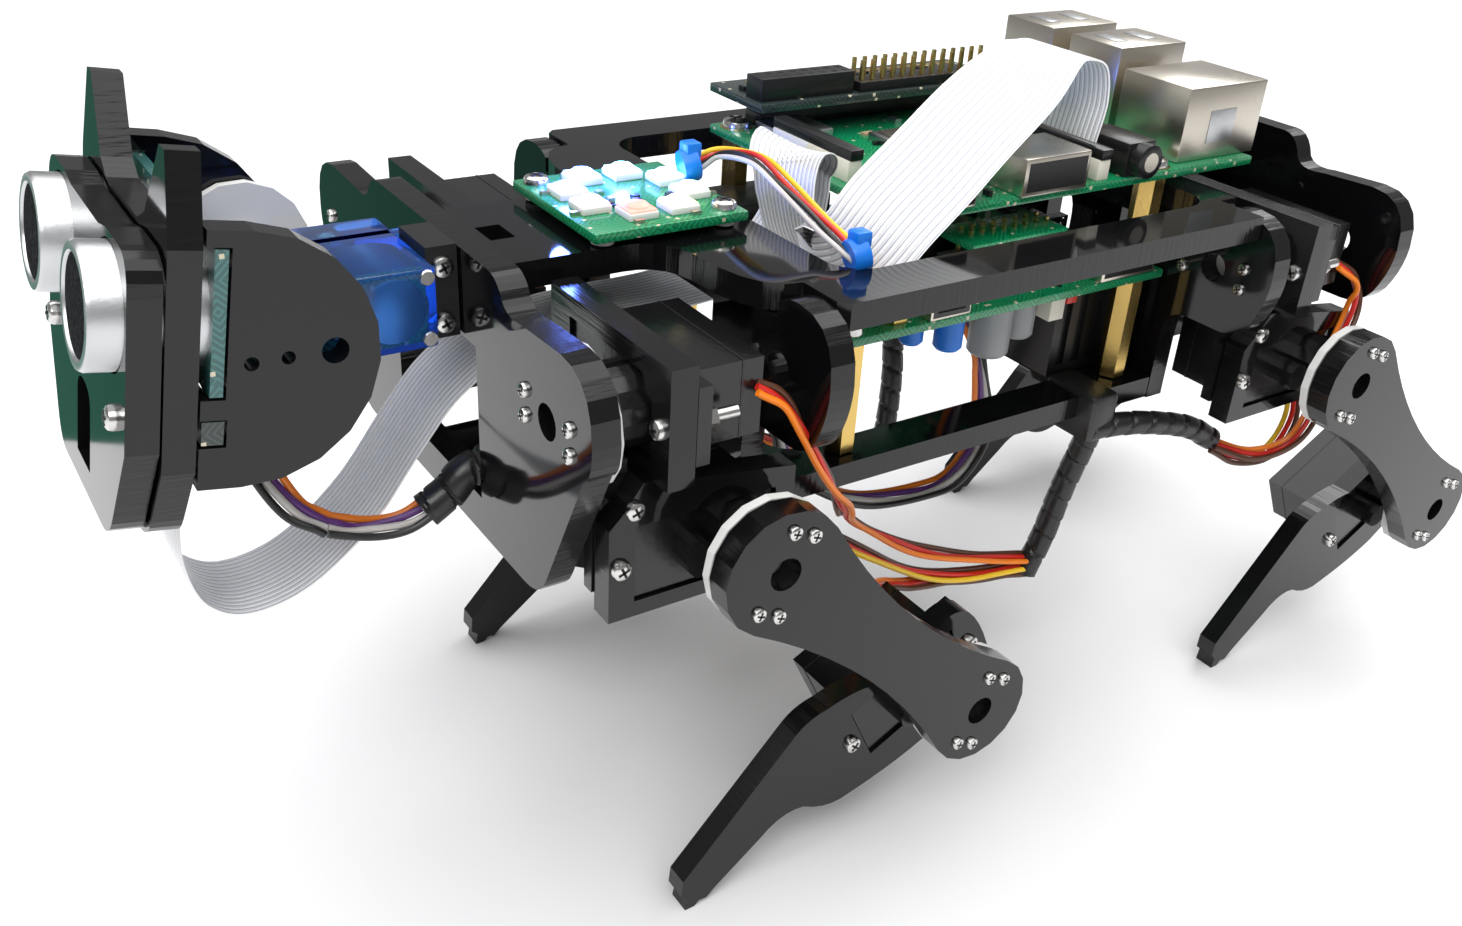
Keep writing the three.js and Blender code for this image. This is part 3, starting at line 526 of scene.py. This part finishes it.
def servo_seams(key):
    """Case joints and lid screws on the three servos of one leg."""
    side = side_of(key)
    hip = leg_frame(key) @ Matrix.Translation((HIP_X, 0, HIP_Z))
    for name, place, body in (("thigh", hip, "hip_"), ("knee", shin_frame(key), "shin_")):
        case = Piece(f"{name}_case_{key}", place, M["black"], M["steel"], M["slot"])
        low = side * (BRACKET_Y - 14.6)
        near, far = sorted((low, low + side * 0.35))
        case.box((-SERVO_HALF, near, -SERVO_HALF), (SERVO_FAR, far, SERVO_HALF))
        bottom = side * (BRACKET_Y - LID_DEPTH)
        for x in (-LID_HALF, LID_FAR):
            for z in (-LID_HALF, LID_HALF):
                case.turned([(1.1, 0), (1.0, 0.25)], (x, bottom, z), (0, -side, 0), 1, 12)
        case.done(body + key)
    back = TEE_FRONT - LID_DEPTH
    case = Piece("roll_case_" + key, leg_frame(key), M["black"], M["steel"])
    near, far = side * (ROLL_Y + SERVO_HALF), side * (ROLL_Y - SERVO_FAR)
    case.box((back + 3.2, min(near, far), ROLL_Z - SERVO_HALF),
             (back + 3.55, max(near, far), ROLL_Z + SERVO_HALF))
    for y in (near - side * 1.4, far + side * 1.4):
        for z in (-LID_HALF, LID_HALF):
            case.turned([(1.1, 0), (1.0, 0.25)], (back, y, ROLL_Z + z), (-1, 0, 0), 1, 12)
    case.done("hip_" + key)


def add_head():
    face = Piece("face_screws", HEAD, M["steel"], M["slot"])
    for side in (-1, 1):
        face.screw((24.9, side * 18, -10), (1, 0, 0), 1.7, 1.3)
    face.done("head")

    sonar = Piece("sonar_eyes", HEAD, M["teal_board"], M["can"], M["mesh"], M["black"], M["steel"],
                  M["slot"], M["tin"])
    sonar.box((13.6, -22.75, -5.9), (15.2, 22.75, 13.1), 0)
    for side in (-1, 1):
        centre = (15.2, side * 14, 3)
        can = [(8, 0), (8, 13.1), (7.7, 13.6), (7.3, 13.7), (6.7, 13.65), (6.45, 13.35), (6.4, 12.8)]
        sonar.turned(can, centre, (1, 0, 0), 1, 48)
        sonar.turned([(6.38, 12.75), (6.36, 13.3), (4.5, 13.45), (2, 13.5)], centre, (1, 0, 0), 2, 48)
        for z in (-4.4, 11.6):
            sonar.turned([(1.2, 0), (1.0, 0.5)], (13.6, side * 21, z), (-1, 0, 0), 6, 12)
    sonar.box((12.7, -3, -4), (13.6, 3, 0), 3, 0.2)
    for y, z, w, h in ((-12, 5, 5, 4), (10, 4, 4.5, 5), (-3, 9, 3, 2.5), (17, -2, 3, 3)):
        sonar.box((12.5, y - w / 2, z - h / 2), (13.6, y + w / 2, z + h / 2), 3, 0.2)
    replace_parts(sonar.done("head"), "sonar_module")

    servo = Piece("head_servo_case", BODY, M["blue"], M["steel"], M["slot"])
    servo.box((98.6, -7, 98.1), (121.4, 15.5, 109.9), 0, 0.6)
    servo.box((93.9, -1.2, 98.1), (126.1, 1, 109.9), 0, 0.3)
    servo.turned([(5.9, 0), (5.9, 3.7), (5.5, 4)], (115.5, -7, 104), (0, -1, 0), 0, 32)
    servo.turned([(2.6, 0), (2.6, 4)], (107.2, -7, 104), (0, -1, 0), 0, 16)
    servo.turned([(2.3, 0), (2.3, 6)], (115.5, -10, 104), (0, -1, 0), 0, 16)
    for x in (99.9, 120.1):
        for z in (99.5, 108.5):
            servo.turned([(1.2, 0), (1.0, 0.4)], (x, 15.3, z), (0, 1, 0), 1, 12)
    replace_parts(servo.done("root"), "head_servo")
    works = Piece("head_servo_works", BODY, M["black"], M["tin"], M["horn"], M["gold"], M["green"])
    works.turned([(4.6, 0), (5, 0.5), (5, 12), (4, 12.5)], (104.6, 2, 104), (0, 1, 0), 1, 24)
    works.turned([(4.2, 0), (4.2, 1.6)], (113.5, -5, 104), (0, 1, 0), 2, 20)
    works.turned([(2.6, 0), (2.6, 6)], (107, -5.5, 104), (0, 1, 0), 3, 16)
    works.box((111, 2.5, 99.4), (119.5, 13.5, 108.4), 0, 0.4)
    works.box((100, 13.4, 99), (119.8, 14.2, 109), 4)
    works.done("root")
    for z in (99.6, 108):
        mount = Piece(f"mount_screw_{int(z)}", BODY, M["steel"], M["slot"])
        mount.screw((96, 11, z), (0, 1, 0), 1.6, 1.1)
        mount.done("root")


# ---- boards --------------------------------------------------------------------------
def scatter(piece, low, high, top, count, seed, slots, up=1):
    """Small surface parts over a rectangle of a board, none on another."""
    draw = random.Random(seed)
    placed = []
    while len(placed) < count:
        length, width = draw.choice(CHIPS)
        if draw.random() < 0.5:
            length, width = width, length
        x, y = draw.uniform(low[0], high[0]), draw.uniform(low[1], high[1])
        reach = max(length, width)
        placed.append((x, y, reach))
        if any(math.hypot(x - a, y - b) < (reach + c) * 0.62 for a, b, c in placed[:-1]):
            continue
        height = draw.uniform(0.4, 1.0)
        base, peak = (top, top + height) if up > 0 else (top - height, top)
        piece.box((x - length / 2, y - width / 2, base), (x + length / 2, y + width / 2, peak),
                  draw.choice(slots))


def shell(piece, low, high, wall, mouth, metal, dark):
    """A port's metal shell with a dark mouth on its +Y or -X side: a flat slab for the opening, the black
    plastic inside with painted shade for the hollow.
    """
    piece.box(low, high, metal, 0.35)
    if mouth == "y":
        piece.box((low[0] + wall, high[1] - 0.2, low[2] + wall),
                  (high[0] - wall, high[1] + 0.04, high[2] - wall), dark)
    else:
        piece.box((low[0] - 0.04, low[1] + wall, low[2] + wall),
                  (low[0] + 0.2, high[1] - wall, high[2] - wall), dark)


def add_computer():
    front, left, top = COMPUTER_FRONT, COMPUTER_LEFT, COMPUTER_TOP
    parts = Piece("computer_board_detail", BODY, M["green"], M["tin"], M["black"], M["white"],
                  M["ivory"], M["gold"], M["tan"], M["steel"], M["slot"], M["can"])
    parts.box((front - 85, left - 56, top - BOARD), (front, left, top), 0, 0.3)
    for near in (22.4, 40.4):
        low = (front - 87.5, left - near - 13.2, top)
        high = (front - 69.3, left - near, top + 16)
        shell(parts, low, high, 0.9, "x", 1, 2)
        parts.box((low[0] - 0.06, low[1] + 1.4, top + 7.3), (low[0] + 0.3, high[1] - 1.4, top + 8.7), 1)
        for x in (low[0] + 4, low[0] + 12):
            parts.box((x, high[1] - 0.02, top + 5), (x + 3, high[1] + 0.12, top + 11), 9, 0.05)
            parts.box((x, low[1] + 3, high[2] - 0.02), (x + 3, low[1] + 9, high[2] + 0.12), 9, 0.05)
    shell(parts, (front - 87.5, left - 18.2, top), (front - 66.2, left - 2.2, top + 13.5), 1.2,
          "x", 1, 2)
    parts.box((front - 80, left - 2.22, top + 3), (front - 73, left - 2.08, top + 9), 9, 0.05)
    shell(parts, (front - 39.5, left - 10.3, top), (front - 24.5, left + 1.2, top + 6.5), 0.8,
          "y", 1, 2)
    parts.box((front - 36.5, left + 0.8, top + 2.6), (front - 27.5, left + 1.22, top + 3.6), 1)
    shell(parts, (front - 14.5, left - 4.6, top), (front - 6.7, left + 1.1, top + 2.9), 0.5,
          "y", 1, 2)
    parts.box((front - 57, left - 11.5, top), (front - 50, left - 0.1, top + 6), 2, 0.3)
    parts.turned([(3, 0), (3, 2.4), (2.7, 2.6), (1.75, 2.6)], (front - 53.5, left - 0.2, top + 3),
                 (0, 1, 0), 2, 28)
    parts.turned([(1.7, 0), (1.7, 0.1)], (front - 53.5, left + 2.36, top + 3), (0, 1, 0), 1, 20)
    for x, y0, y1 in ((45.2, 0.6, 22.4), (3.6, 17, 39)):
        parts.box((front - x - 1.4, left - y1, top), (front - x + 1.4, left - y0, top + 3.6), 4, 0.2)
        parts.box((front - x - 1.5, left - y1 - 0.2, top + 3.6),
                  (front - x + 1.2, left - y0 + 0.2, top + 5.4), 2, 0.2)
    parts.box((front - 36.6, left - 36.4, top), (front - 21.6, left - 21.4, top + 1.5), 9, 0.3)
    parts.box((front - 35.4, left - 35.2, top + 1.5), (front - 22.8, left - 22.6, top + 1.9), 1, 0.15)
    parts.box((front - 17, left - 50, top), (front - 6, left - 40.5, top + 1.6), 9, 0.4)
    parts.box((front - 64, left - 40, top), (front - 55, left - 31, top + 1), 2, 0.15)
    parts.box((front - 61, left - 20, top), (front - 53, left - 12, top + 1), 2, 0.15)
    for x in BOARD_HOLES_X:
        for side in (-1, 1):
            parts.turned([(3, 0), (3, 0.06)], (x, side * BOARD_HOLES_Y, top), (0, 0, 1), 5, 28)
    scatter(parts, (front - 62, left - 46), (front - 20, left - 13), top, 70, 7, (2, 6, 9))
    scatter(parts, (front - 60, left - 11), (front - 6, left - 1), top, 40, 9, (2, 6, 9))
    parts.box((front - 58, left - 55, top), (front - 7.1, left - 50, top + 2.5), 2, 0.2)
    parts.box((front - 58, left - 54.9, top + 2.5), (front - 7.1, left - 50.1, top + 5.2), 2, 0.2)
    for i in range(HEADER_PINS):
        for row in range(2):
            x, y = front - 8.4 - PIN_PITCH * i, left - 51.2 - PIN_PITCH * row
            parts.box((x - 0.3, y - 0.3, top - 3.2), (x + 0.3, y + 0.3, top - BOARD), 5)
    board = parts.done("root")
    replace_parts(board, "computer_board")
    screws = Piece("computer_screws", BODY, M["steel"], M["slot"])
    for x in BOARD_HOLES_X:
        for side in (-1, 1):
            screws.screw((x, side * BOARD_HOLES_Y, top), (0, 0, 1), 2.6, 1.7)
    screws.done("root")


def add_header_board():
    top = ADAPTER_TOP
    parts = Piece("header_board_detail", BODY, M["black_board"], M["black"], M["gold"], M["slot"],
                  M["white"])
    parts.box((-31, -30, top - BOARD), (26.4, -13, top), 0, 0.25)
    parts.box((5.2, -19.4, top), (25.6, -14.4, top + 4), 1, 0.15)
    # socket holes: thin squares in the slot material, painted shade standing for the hollows
    for i in range(8):
        for row in range(2):
            x, y = 6.5 + PIN_PITCH * i, -18.2 + PIN_PITCH * row
            parts.box((x - 0.55, y - 0.55, top + 3.98), (x + 0.55, y + 0.55, top + 4.03), 3)
    for i in range(HEADER_PINS):
        x = -29 + PIN_PITCH * i
        parts.turned([(1.0, 0), (1.0, 0.05)], (x, -27.4, top), (0, 0, 1), 2, 12)
    for i in range(14):
        x = 3 - 2.4 * i
        for y in (-15.2, -17.7):
            parts.box((x - 0.32, y - 0.32, top), (x + 0.32, y + 0.32, top + 5.5), 2)
    parts.box((-30.6, -19, top), (3.9, -14, top + 1.8), 1, 0.15)
    scatter(parts, (-29, -25.5), (24, -20.5), top, 30, 4, (1, 3))
    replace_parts(parts.done("root"), "header_board")


def add_shield():
    top = SHIELD_TOP
    low = top - BOARD
    parts = Piece("shield_board_detail", BODY, M["green"], M["brass"], M["black"], M["tin"], M["gold"],
                  M["ivory"], M["white"], M["tan"], M["grey"], M["tie"], M["steel"], M["red"])
    parts.box((-39, -28, low), (38, 28, top), 0, 0.25)
    for side in (-1, 1):
        for x in BOARD_HOLES_X:
            parts.turned([(2.7, 0), (2.7, 17.5)], (x, side * BOARD_HOLES_Y, top), (0, 0, 1), 1, 6)
        for x in (33, -33):
            parts.turned([(2.7, 0), (2.7, 19.6)], (x, side * 25.2, 70.3), (0, 0, 1), 1, 6)
            parts.turned([(2.3, 0), (2.1, 1.3)], (x, side * 25.2, top), (0, 0, 1), 10, 20)
    shell(parts, (9.5, 21, top), (18.5, 28.2, top + 3.3), 0.5, "y", 3, 2)
    parts.box((11, 27.9, top + 1.3), (17, 28.24, top + 2), 3)
    shell(parts, (-36, 16, top), (-22, 28.1, top + 5.6), 0.7, "y", 3, 2)
    parts.box((-13, 17, top), (9, 24, top + 7), 2, 0.3)
    for i in range(8):
        x = -11.9 + PIN_PITCH * i
        parts.box((x - 0.32, 18.8, top + 7), (x + 0.32, 19.4, top + 12), 4)
        parts.box((x - 0.32, 21.4, top + 7), (x + 0.32, 22, top + 12), 4)
    parts.box((-13, 16, top + 10), (9, 26, top + 11.2), 0, 0.15)
    parts.box((20.5, 8, top), (28, 14, top + 6), 5, 0.3)
    parts.box((10, -24, top), (34, -12, top + 9), 2, 0.4)
    parts.turned([(6, 0), (6, 8.5), (5.6, 9), (1.2, 9)], (2, 8, top), (0, 0, 1), 2, 32)
    parts.box((-2, 20, top + 0.02), (8, 23.5, top + 0.08), 6)
    scatter(parts, (-36, -26), (34, 26), top, 90, 21, (2, 7, 3, 6))
    cans = ((-3, 21, 3.8, 11, 8), (-10, 20.5, 3.2, 9, 8), (9, 23, 2.6, 7, 9), (15, 20, 2.2, 6, 9))
    for x, y, r, h, slot in cans:
        parts.turned([(r, 0), (r, -h + 0.6), (r - 0.5, -h)], (x, y, low), (0, 0, 1), slot, 28)
    parts.box((-16, 20, low - 5), (-12.4, 26, low), 5, 0.2)
    parts.box((-19.5, 22.5, low - 2.6), (-17, 25.5, low), 11, 0.2)
    for row in range(3):
        for i in range(6):
            x, y = 6 - PIN_PITCH * i, 13 + PIN_PITCH * row
            parts.box((x - 0.3, y - 0.3, low - 7), (x + 0.3, y + 0.3, low), 4)
    scatter(parts, (-36, -24), (34, 26), low, 60, 5, (2, 7, 3), -1)
    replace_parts(parts.done("root"), "shield_board")


LED_LIGHTS = (                                 # colour and strength, round the ring
    ((0.75, 0.3, 1.0), 4), ((1.0, 0.2, 0.16), 2.2), ((1.0, 0.75, 0.35), 2.4), ((0.5, 1.0, 0.45), 2.4),
    ((0.4, 1.0, 0.7), 5), ((0.3, 0.8, 1.0), 8), ((0.2, 0.4, 1.0), 24), ((0.12, 0.12, 1.0), 24))


def add_led_board():
    top = LED_TOP
    parts = Piece("led_board_detail", BODY, M["green"], M["white"], M["black"], M["tin"], M["steel"],
                  M["slot"])
    parts.box((46.5, -14, top - BOARD), (73.5, 14, top), 0, 0.3)
    for x, y in ((49.3, 11), (49.3, -11), (70.7, 11), (70.7, -11)):
        parts.turned([(1.8, 0), (1.8, 1)], (x, y, 107.7), (0, 0, 1), 1, 16)
    for i, (color, strength) in enumerate(LED_LIGHTS):
        angle = 2 * math.pi * (i + 0.5) / len(LED_LIGHTS)
        x, y = LED_X + LED_RING * math.cos(angle), LED_RING * math.sin(angle)
        parts.box((x - 2.5, y - 2.5, top), (x + 2.5, y + 2.5, top + 1.1), 1, 0.15)
        light = Piece(f"light_{i}", BODY, glowing(f"light_{i}", color, strength))
        light.box((x - 2.3, y - 2.3, top + 1.05), (x + 2.3, y + 2.3, top + 1.5), 0, 0.2)
        lens = [(1.9, 0), (1.85, 0.3), (1.5, 0.6), (0.8, 0.8)]
        light.turned(lens, (x, y, top + 1.45), (0, 0, 1), 0, 24)
        light.done("root")
        away = 13.1
        a, b = LED_X + away * math.cos(angle), away * math.sin(angle)
        parts.box((a - 0.8, b - 0.4, top), (a + 0.8, b + 0.4, top + 0.6), 3)
    scatter(parts, (54, -5), (66, 5), top, 10, 3, (2, 3))
    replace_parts(parts.done("root"), "led_board")
    screws = Piece("led_screws", BODY, M["steel"], M["slot"])
    for x, y in ((49.3, 11), (70.7, -11)):
        screws.screw((x, y, top), (0, 0, 1), 2.1, 1.4)
    screws.done("root")


# ---- leads ---------------------------------------------------------------------------
RIBBON = [
    (-17.9, 16.4, 116.8), (-19, 16.4, 124), (-16.5, 16.6, 130.2), (-9.5, 16.8, 131),
    (-2, 18.8, 127.2), (9, 22, 122.4), (20.4, 26, 117.4), (29.4, 28, 112.4), (34, 26.6, 106.2),
    (35, 21.6, 101.8), (35, 15.4, 100.4), (36, 11.4, 104), (36.8, 9.6, 110.4), (35.6, 8, 115.4),
    (32.6, 6.4, 116.2), (30.6, 5, 111), (31, 3.4, 103), (36.6, 1.4, 96.2), (52, 0, 93.2),
    (70, 0, 92.8), (84, 0, 90.8), (93, 0, 85.6), (99.8, 0, 77.8), (108, 0, 67.4),
    (118, 0, 59.6), (127.2, 0, 57.6), (133, 0, 61), (135.2, 0, 68), (135, 0, 75), (134.4, 0, 81)]
RIBBON_HELD = 22        # points from here on make the stretch on the head's side
RIBBON_STEPS = 8
SWEEP_CENTRE, SWEEP_REACH = 6.0, 3.2           # where the cable rolls to its left, in points
SWEEP_ACROSS = Vector((-0.48, 0.67, -0.565))


def ribbon_section(path, i):
    """The four corners of the flat cable at one step of its path."""
    half, thick = 8.0, 0.15
    along = heading(path, i)
    rolled = max(0.0, 1 - ((i / RIBBON_STEPS - SWEEP_CENTRE) / SWEEP_REACH) ** 2)
    across = Vector((0, 1, 0)).lerp(SWEEP_ACROSS, rolled)
    across = (across - along * along.dot(across)).normalized()
    up = along.cross(across)
    corners = ((-half, -thick), (half, -thick), (half, thick), (-half, thick))
    return [BODY @ (path[i] + across * a + up * b) for a, b in corners]


def ribbon_strip(name, sections):
    """One stretch of flat cable, with a UV map that runs across its width."""
    made = bmesh.new()
    layer = made.loops.layers.uv.new("across")
    rows = [[made.verts.new(corner) for corner in section] for section in sections]
    for low, high in zip(rows, rows[1:]):
        for k, (u0, u1) in enumerate(((0, 1), (1, 1), (1, 0), (0, 0))):
            j = (k + 1) % 4
            face = made.faces.new((low[k], low[j], high[j], high[k]))
            face.smooth = True
            for loop, u in zip(face.loops, (u0, u1, u1, u0)):
                loop[layer].uv = (u, 0)
    made.faces.new(list(reversed(rows[0])))
    made.faces.new(rows[-1])
    bmesh.ops.recalc_face_normals(made, faces=made.faces)
    mesh = bpy.data.meshes.new(name)
    made.to_mesh(mesh)
    made.free()
    mesh.materials.append(M["ribbon"])
    mesh.set_sharp_from_angle(angle=math.radians(50))
    strip = bpy.data.objects.new(name, mesh)
    bpy.context.collection.objects.link(strip)
    return strip


def add_ribbon():
    path = smooth_path(RIBBON, RIBBON_STEPS)
    sections = [ribbon_section(path, i) for i in range(len(path))]
    held = RIBBON_HELD * RIBBON_STEPS
    deck = ribbon_strip("ribbon_cable", sections[:held + 1])
    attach(deck, "root")
    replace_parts(deck, "camera_ribbon")
    chin = ribbon_strip("ribbon_cable_head", sections[held:])
    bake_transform(chin)


def bundle(name, points, colours, gap, place, body=None, radius=0.54, crosses=None):
    """Single wires side by side along one route; crosses names the two bodies it joins."""
    path = smooth_path(points, 8)
    piece = Piece(name, place, *[M[colour] for colour in colours])
    for k in range(len(colours)):
        shift = (k - (len(colours) - 1) / 2) * gap
        wire = []
        for i, point in enumerate(path):
            along = heading(path, i)
            across = along.cross(Vector((0.2, 0.3, 1))).normalized()
            loose = min(1.0, i / 6, (len(path) - 1 - i) / 6)
            twist = 0.5 * loose * math.sin(i * 0.35 + k * 2.1)
            lift = across.cross(along)
            wire.append(point + across * shift + lift * twist * gap * 0.5)
        piece.tube(wire, radius, k)
    made = piece.done(body)
    if crosses:
        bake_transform(made)
    return made


def spiral(name, points, radius, place, body):
    """Black wrap wound round a bundle, with a groove at each turn."""
    path = smooth_path(points, 24)
    side = Vector((0.2, 0.9, 0.3))
    run = 0.0
    rings = []
    for i, point in enumerate(path):
        along = heading(path, i)
        run += (point - path[max(i - 1, 0)]).length
        side = (side - along * side.dot(along)).normalized()
        phases = [(run / WRAP_PITCH + k / WRAP_SIDES) % 1 for k in range(WRAP_SIDES)]
        swells = [radius * (0.84 if phase < 0.14 else 1.0 - 0.06 * phase) for phase in phases]
        rings.append(hoop(point, side, along.cross(side), swells))
    return Piece(name, place, M["wrap"]).skin(rings).done(body)


SONAR_LEAD = [
    (115.6, 10.8, 71.2), (111, 11.2, 69.4), (104, 11.6, 69), (98.6, 12, 71.6), (94.6, 12.4, 75.2),
    (88, 12.6, 77), (78, 12.6, 77.2), (66, 12.4, 77.2), (54, 12.4, 77.4), (45, 12.6, 75),
    (37.5, 13, 69), (33, 13.4, 60), (24, 12.6, 52.4), (12, 11.4, 47), (-2, 10.6, 44.4),
    (-10, 10.2, 45.4), (-15.6, 9.8, 51), (-16.4, 9.4, 59), (-14, 9, 69), (-10, 8.4, 79),
    (-8.6, 8, 89.2)]
SONAR_COLOURS = ("orange", "purple", "pale", "dark")
THREE = ("brown", "red", "orange")
PITCH_THREE = ("brown", "red", "yellow")
LEAD_GAP = 1.15                                # between the wires of a servo lead


def add_sonar_lead():
    lead = bundle("sonar_wires", SONAR_LEAD, SONAR_COLOURS, 1.2, BODY, "root", 0.6)
    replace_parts(lead, "sonar_lead")
    chin = [(127.6, 0, 101), (126.2, 2, 95), (125, 4.5, 88), (122.6, 7.6, 80), (119.5, 9.8, 74.5),
            (115.6, 10.8, 71.2)]
    bundle("sonar_wires_head", chin, SONAR_COLOURS, 1.2, BODY, None, 0.6, ("head", "root"))
    wrapped = [(101, 11.8, 70), (97.4, 12.1, 72.4), (94.6, 12.4, 75.2), (90, 12.6, 76.6)]
    spiral("sonar_wrap", wrapped, 2.9, BODY, "root")


def add_side_leads(side, suffix):
    """Servo leads of one side; the knee lead doubles back, so it comes in three stretches."""
    front, rear = "f" + suffix, "r" + suffix

    def near(*points):
        return [(x, side * y, z) for x, y, z in points]

    spiral("wrap_front_" + suffix,
           near((-19.6, 25, 28), (-22.4, 25.6, 36), (-24, 27, 48), (-24.6, 29, 57), (-24, 31, 63.4)),
           2.5, BODY, "root")
    spiral("wrap_rear_" + suffix,
           near((-22, 31.4, 63.2), (-28, 32.4, 63.4), (-36.4, 34, 62.6), (-47.9, 35, 59.4),
                (-55, 36, 55.4)),
           2.4, BODY, "root")
    clip = Piece("clip_" + suffix, BODY, M["wrap"])
    low, high = sorted((side * 21, side * 33.6))
    clip.box((-27.4, low, 61.4), (-20, high, 71), 0, 1.2)
    clip.done("root")
    bundle("roll_lead_" + front,
           near((64.7, 44.6, 97.2), (60.4, 45.6, 94.2), (56, 46, 87.1), (47.6, 44, 74.6), (39, 36, 65),
                (31, 27.4, 57), (22, 24.4, 49.6), (10, 24.2, 42), (-4, 24.2, 36), (-19.4, 25, 31.6)),
           THREE, LEAD_GAP, BODY, crosses=("hip_" + front, "root"))
    bundle("knee_lead_a_" + front,
           near((-19.6, 25, 28.4), (-12, 24.2, 29.6), (-4, 24, 31)),
           THREE, LEAD_GAP, BODY, crosses=("root", "hip_" + front))
    bundle("knee_lead_b_" + front,
           near((-4, 24, 31), (4, 24, 33), (12, 24.6, 35)),
           THREE, LEAD_GAP, BODY, crosses=("hip_" + front, "thigh_" + front))
    bundle("knee_lead_c_" + front,
           near((12, 24.6, 35), (18, 25.4, 37.4), (23, 28, 39.6), (27, 30.4, 39.6)),
           THREE, LEAD_GAP, BODY, crosses=("thigh_" + front, "shin_" + front))
    bundle("thigh_lead_" + front,
           near((60.8, 27, 74), (52, 25.4, 68), (40, 24.8, 58), (24, 24.6, 46), (10, 24.4, 37),
                (-4, 24.4, 32), (-19.6, 25, 29.8)),
           PITCH_THREE, LEAD_GAP, BODY, crosses=("hip_" + front, "root"))
    bundle("roll_lead_" + rear,
           near((-68, 44.4, 93.8), (-73.4, 46, 90), (-74.6, 46.4, 84), (-71.6, 46.8, 75),
                (-71.4, 46.6, 64), (-68.4, 45.4, 56), (-62, 42, 53), (-54.6, 37.4, 55)),
           THREE, LEAD_GAP, BODY, crosses=("hip_" + rear, "root"))
    bundle("thigh_lead_" + rear,
           near((-72.2, 30, 74), (-77, 33, 68), (-77, 38.6, 58), (-70, 40, 50.4), (-61, 38.4, 50.6),
                (-54.4, 36.4, 54)),
           PITCH_THREE, LEAD_GAP, BODY, crosses=("hip_" + rear, "root"))


def add_deck_wires():
    """The LED board's wires, the two ties on them, and the pair under the computer board."""
    lights = [(47, -4, 111.4), (42.6, -1, 114.6), (42, 8, 116.4), (43, 18, 115), (41.6, 27, 111.4),
              (40.6, 33, 108.8), (36, 33.4, 104), (30, 27, 98), (24, 12, 97)]
    bundle("light_wires", lights, ("yellow", "red", "dark", "pale"), 0.95, BODY, "root", 0.42)
    for k, (x, y, z) in enumerate(((40.2, 33.4, 108.4), (47.6, -2.6, 112.6))):
        tie = Piece(f"cable_tie_{k}", BODY, M["tie"])
        band = [(2.6, 0), (2.75, 0.4), (2.75, 2.4), (2.6, 2.8), (1.2, 2.8)]
        tie.turned(band, (x + 1.4, y, z), (-1, 0.2, 0.2), 0, 20)
        tie.box((x - 1.6, y - 1.2, z + 1.6), (x + 1.2, y + 1.6, z + 4.2), 0, 0.4)
        tie.done("root")
    supply = [(14, 20, 93), (10, 24, 96), (4, 24, 100), (-2, 20, 102), (-6, 14, 99)]
    bundle("battery_wires", supply, ("red", "dark"), 1.2, BODY, "root", 0.5)


def add_leads():
    add_ribbon()
    add_sonar_lead()
    for side, suffix in ((1, "l"), (-1, "r")):
        add_side_leads(side, suffix)
    add_deck_wires()


# ---- set -----------------------------------------------------------------------------
LAMPS = (                                      # name, place, size and power, in metres and watts
    ("overhead", (0.1, 0.1, 2.1), 4.2, 118),
    ("key", (0.6, 0.5, 0.8), 0.5, 4),
    ("back", (-0.7, -0.3, 0.7), 0.5, 3))
AIM = Vector((0, 0, 0.07))
WORLD_UNSEEN, WORLD_SEEN = 0.28, 0.95          # light the world gives, and what the camera sees


def add_set():
    bpy.ops.mesh.primitive_plane_add(size=8)
    floor = bpy.context.object
    floor.name = "floor"
    floor.data.materials.append(grained("floor_white", (0.86, 0.86, 0.87), 0.7, 0.0, 30.0, 0.02))
    # a green card that only reflections see
    bpy.ops.mesh.primitive_plane_add(size=1, location=(0.25, -0.5, 0.002))
    mat = bpy.context.object
    mat.name = "side_mat"
    mat.scale = (0.5, 0.62, 1)
    mat.data.materials.append(grained("mat_green", (0.01, 0.12, 0.075), 0.8, 0.0, 40.0, 0.05))
    mat.visible_camera = False
    mat.visible_diffuse = False
    mat.visible_shadow = False
    mat.visible_transmission = False
    world = bpy.data.worlds.new("studio")
    world.use_nodes = True
    tree = world.node_tree
    background = tree.nodes["Background"]
    background.inputs["Color"].default_value = (1, 1, 1, 1)
    seen = node(tree, "ShaderNodeLightPath").outputs["Is Camera Ray"]
    tree.links.new(ranged(tree, seen, WORLD_UNSEEN, WORLD_SEEN), background.inputs["Strength"])
    bpy.context.scene.world = world
    for name, place, size, power in LAMPS:
        data = bpy.data.lights.new(name, "AREA")
        data.shape = "RECTANGLE"
        data.size = size
        data.size_y = size
        data.energy = power
        lamp = bpy.data.objects.new(name, data)
        lamp.location = place
        lamp.rotation_euler = (AIM - Vector(place)).to_track_quat("-Z", "Y").to_euler()
        bpy.context.collection.objects.link(lamp)
    # the lit LEDs' light on the parts near them
    for angle in (1.37 * math.pi, 1.62 * math.pi, 1.87 * math.pi):
        data = bpy.data.lights.new("glow", "POINT")
        data.color = (0.12, 0.22, 1.0)
        data.energy = 0.012
        data.shadow_soft_size = 0.002
        lamp = bpy.data.objects.new("glow", data)
        x, y = LED_X + LED_GLOW_RING * math.cos(angle), LED_GLOW_RING * math.sin(angle)
        lamp.location = BODY @ Vector((x, y, LED_TOP + 5))
        bpy.context.collection.objects.link(lamp)
    bpy.context.scene.view_settings.view_transform = "Standard"


add_camera()
add_leads()
dress_frame()
for leg in LEGS:
    add_leg_details(leg)
    servo_seams(leg)
add_head()
add_computer()
add_header_board()
add_shield()
add_led_board()
add_set()
